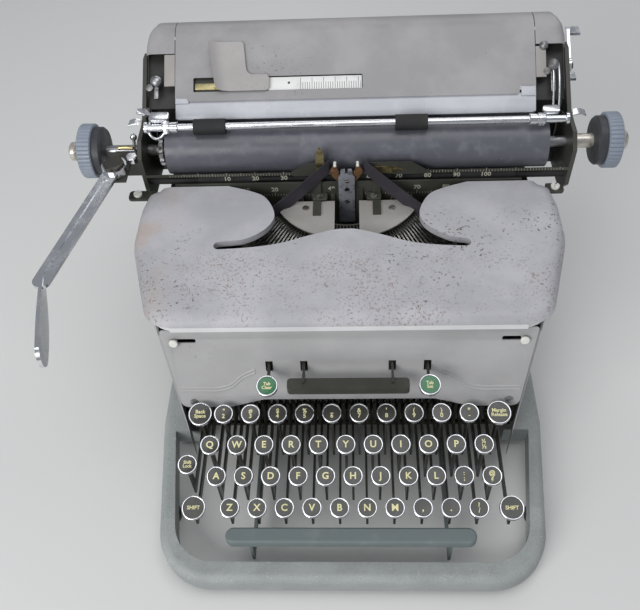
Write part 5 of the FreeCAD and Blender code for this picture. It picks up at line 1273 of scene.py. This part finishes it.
# carriage release levers: an upright arm with a curled tip and a pivot
releaseLook = {
    "arm": ((108, 168), (116, 168), (115.6, 177), (105, 204.5), (99.6, 204.5), (99, 199)), "thick": 1.2,
    "armRadii": (3.8, 3.8, 3, 2, 2, 2), "curlY": 101.9, "topZ": 206, "pivotY": 112, "pivotZ": 172,
    "curl": ((-3.1, -0.7), (3.1, -0.7), (3.4, 0), (3.1, 0.7), (-3.1, 0.7), (-3.4, 0)),
    "pivot": ((0, -0.2), (3.4, -0.2), (3.4, 1.4), (2.8, 2.0), (0, 2.1))}


def makeReleases():
    look = releaseLook
    for side, name, node, body, face in ((-1, "releaseLeft", "carriage_release_left", "release_left", -153.3),
                                         (1, "releaseRight", "carriage_release_right", "release_right", 165.2)):
        low, high = boxOf(node)
        build = bmesh.new()
        plateInto(build, roundedPath(look["arm"], look["armRadii"], 1.5), look["thick"],
                  at(face if side < 0 else face - look["thick"], 0, 0) @ standAcross, 0.3)
        reach = max(6.0, min(13.0, abs((low.x if side < 0 else high.x) - face) - 1.2))
        rings = []
        for step, lift in ((-0.6, -0.6), (reach * 0.3, 0.6), (reach * 0.65, 0.5), (reach, -0.9)):
            spot = Vector((face + side * step, look["curlY"] + 0.05 * step, min(high.z, look["topZ"]) - 1.5 + lift))
            rings.append([spot + Vector((0, *shift)) for shift in look["curl"]])
        ringsInto(build, rings)
        latheInto(build, look["pivot"], 24, alongX(face, look["pivotY"], look["pivotZ"], side < 0))
        piece = builtPiece(name, build, "chromePlate", body, 40)
        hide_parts(node)
    print("release levers made")


# the small parts round the carriage's ends
endLook = {
    "nut": ((0, 0), (8.2, 0), (8.2, 1.6), (6.8, 2.5), (0, 2.6)), "nutPlace": (-167, 58, 201.6),
    "detentNut": ((0, 0), (4.8, 0), (4.8, 3.4), (3.9, 4.2), (0, 4.3)), "detentPlace": (-157, 70.5, 194.7),
    "detent": ((79, 191), (84, 190), (89, 204), (86.5, 207.5), (83, 207)), "ball": (-156.8, 85.8, 203.6),
    "rod": ((-168, 79.5, 199), (-163, 79.8, 199.4), (-157, 79, 199)),
    "cranks": ((-140.7, 4.5), (150.8, 9.5)), "crankBall": (144.3, 136.4, 238.2),
    "crank": ((0, -3.5), (4.3, -3.5), (4.3, -0.6), (3.2, 0.8), (1.6, 1.4), (0, 1.5)),
    "pin": ((0, -3.5), (2.6, -3.5), (2.6, 0.2), (0, 0.8)), "links": (151.0, 155.2),
    "ears": ((-163.6, -146, (2.5, 0.8, 0.8, 2.5)), (146, 158.6, (0.8, 2.5, 2.5, 0.8))), "earZ": 167.6, "earThick": 2.0}


def makeEndFittings():
    look, turn = endLook, tableMatrix()
    lathePiece("leverNut", look["nut"], "darkSteel", "line_lever", 6, at(*look["nutPlace"]))
    build = bmesh.new()
    latheInto(build, look["detentNut"], 6, at(*look["detentPlace"]))
    plateInto(build, roundedPath(look["detent"], [2] * 5, 1.5), 1.2, at(-157.4, 0, 0) @ standAcross, 0.3)
    ballInto(build, look["ball"], 2.6)
    builtPiece("detentArm", build, "chromePlate", "carriage")
    rod = joinMeshes([tubeMesh(look["rod"], 1.5, "housingRod")], "housingRod", 35)
    newPiece("housingRod", rod, "brassPlate", "carriage")

    # cranks, pins and links at the table's two ends
    build = bmesh.new()
    for x, v in look["cranks"]:
        latheInto(build, look["crank"], 24, turn @ at(x, v, 0))
        latheInto(build, look["pin"], 18, turn @ at(x - 4.6, v - 5.4, 0))
    slabInto(build, (-142.4, -8.5, -4.6), (-139.2, 9, -2.4), 0.5, turn)
    slabInto(build, (149.4, -10, -4.6), (152.6, 13, -2.4), 0.5, turn)
    ballInto(build, look["crankBall"], 3.4)
    builtPiece("tableCranks", build, "plainSteel", "carriage")
    links = [tubeMesh([(x, 127.5, 229.0), (x, 120, 226.4), (x, 110, 218.0), (x - 0.4, 101, 208.6)], 0.9, "link")
             for x in look["links"]]
    newPiece("tableLinks", joinMeshes(links, "tableLinks"), "chromePlate", "carriage")

    # the ears beside the hood, and the flanges under the carriage's ends, coloured with the near-black painted shade
    # tone
    ears = [flatPlate("ear", [roundedPath(rectangle(low, 55.5, high, 65), radii)], look["earThick"],
                      at(0, 0, look["earZ"])) for low, high, radii in look["ears"]]
    newPiece("frameEars", joinMeshes(ears, "frameEars"), "darkPaint", "chassis")
    top = look["earZ"] + look["earThick"]
    screwsOn("earScrews", "chassis", [(-156.6, 60.2, top, 30), (152.4, 60.2, top, 70)], 3.2, "whitePaint", 2.2, 0.9)
    slabPiece("bedFlanges", [((low, 50, 145.2), (high, 138, 146.4)) for low, high in ((-141.4, -104), (104, 141.4))],
              "recessPaint", "chassis")
    print("end fittings made")


# stage, lights and camera
stageLook = {"floorTone": (216, 216, 214), "floorHalf": 6.0, "worldTone": (200, 205, 212), "worldPower": 0.5}


def makeStage():
    mesh = bpy.data.meshes.new("floor")
    half = stageLook["floorHalf"]
    mesh.from_pydata([(-half, -half, 0), (half, -half, 0), (half, half, 0), (-half, half, 0)], [], [(0, 1, 2, 3)])
    floor = bpy.data.objects.new("floor", mesh)
    bpy.context.scene.collection.objects.link(floor)
    floorPaint = Shader("floorPaint", colour(*stageLook["floorTone"]), 0.6).material
    mesh.materials.append(floorPaint)
    world = bpy.data.worlds.new("studio")
    bpy.context.scene.world = world
    world.use_nodes = True
    back = world.node_tree.nodes["Background"]
    back.inputs["Color"].default_value = colour(*stageLook["worldTone"])
    back.inputs["Strength"].default_value = stageLook["worldPower"]


lampPlan = {
    "overhead": {"place": (0.1, -0.15, 1.5), "aim": (0, -0.02, 0.15), "size": (1.3, 0.8), "power": 6.9},
    "frontFill": {"place": (-0.8, -1.2, 0.9), "aim": (0, -0.05, 0.1), "size": (0.9, 0.9), "power": 16},
    "rearStrip": {"place": (0.2, 0.9, 1.0), "aim": (0, 0.08, 0.2), "size": (1.4, 0.3), "power": 2.5}}


def makeLamps():
    for name, plan in lampPlan.items():
        lamp = bpy.data.lights.new(name, "AREA")
        lamp.shape = "RECTANGLE"
        lamp.size, lamp.size_y = plan["size"]
        lamp.energy = plan["power"]
        holder = bpy.data.objects.new(name, lamp)
        bpy.context.scene.collection.objects.link(holder)
        holder.location = plan["place"]
        direction = Vector(plan["aim"]) - Vector(plan["place"])
        holder.rotation_euler = direction.to_track_quat("-Z", "Y").to_euler()


cameraPlan = {"place": (0.006743, -0.372952, 0.564618), "yaw": -0.075, "pitch": 0.882, "roll": 0.070, "lens": 43.96,
              "sensor": 36, "clip": 0.01}


def makeCamera():
    yaw, pitch, roll = cameraPlan["yaw"], cameraPlan["pitch"], cameraPlan["roll"]
    ahead = Vector((math.sin(yaw) * math.cos(pitch), math.cos(yaw) * math.cos(pitch), -math.sin(pitch)))
    right = Vector((math.cos(yaw), -math.sin(yaw), 0))
    down = ahead.cross(right)
    across = right * math.cos(roll) + down * math.sin(roll)
    drop = down * math.cos(roll) - right * math.sin(roll)
    view = bpy.data.cameras.new("camera")
    view.lens = cameraPlan["lens"]
    view.sensor_width = cameraPlan["sensor"]
    view.clip_start = cameraPlan["clip"]
    holder = bpy.data.objects.new("camera", view)
    bpy.context.scene.collection.objects.link(holder)
    turn = Matrix((across, -drop, -ahead)).transposed().to_4x4()
    holder.matrix_world = Matrix.Translation(cameraPlan["place"]) @ turn
    bpy.context.scene.camera = holder


makeKeys()
makeHood()
makeFrontPanel()
makeTable()
makeGuide()
makeSegment()
makeVibrator()
makeRibbon()
makeScales()
makeKnobs()
makeBailFittings()
makeReleases()
makeEndFittings()
makeStage()
makeLamps()
makeCamera()
bpy.context.scene.view_settings.view_transform = "Standard"
print("stage ready")
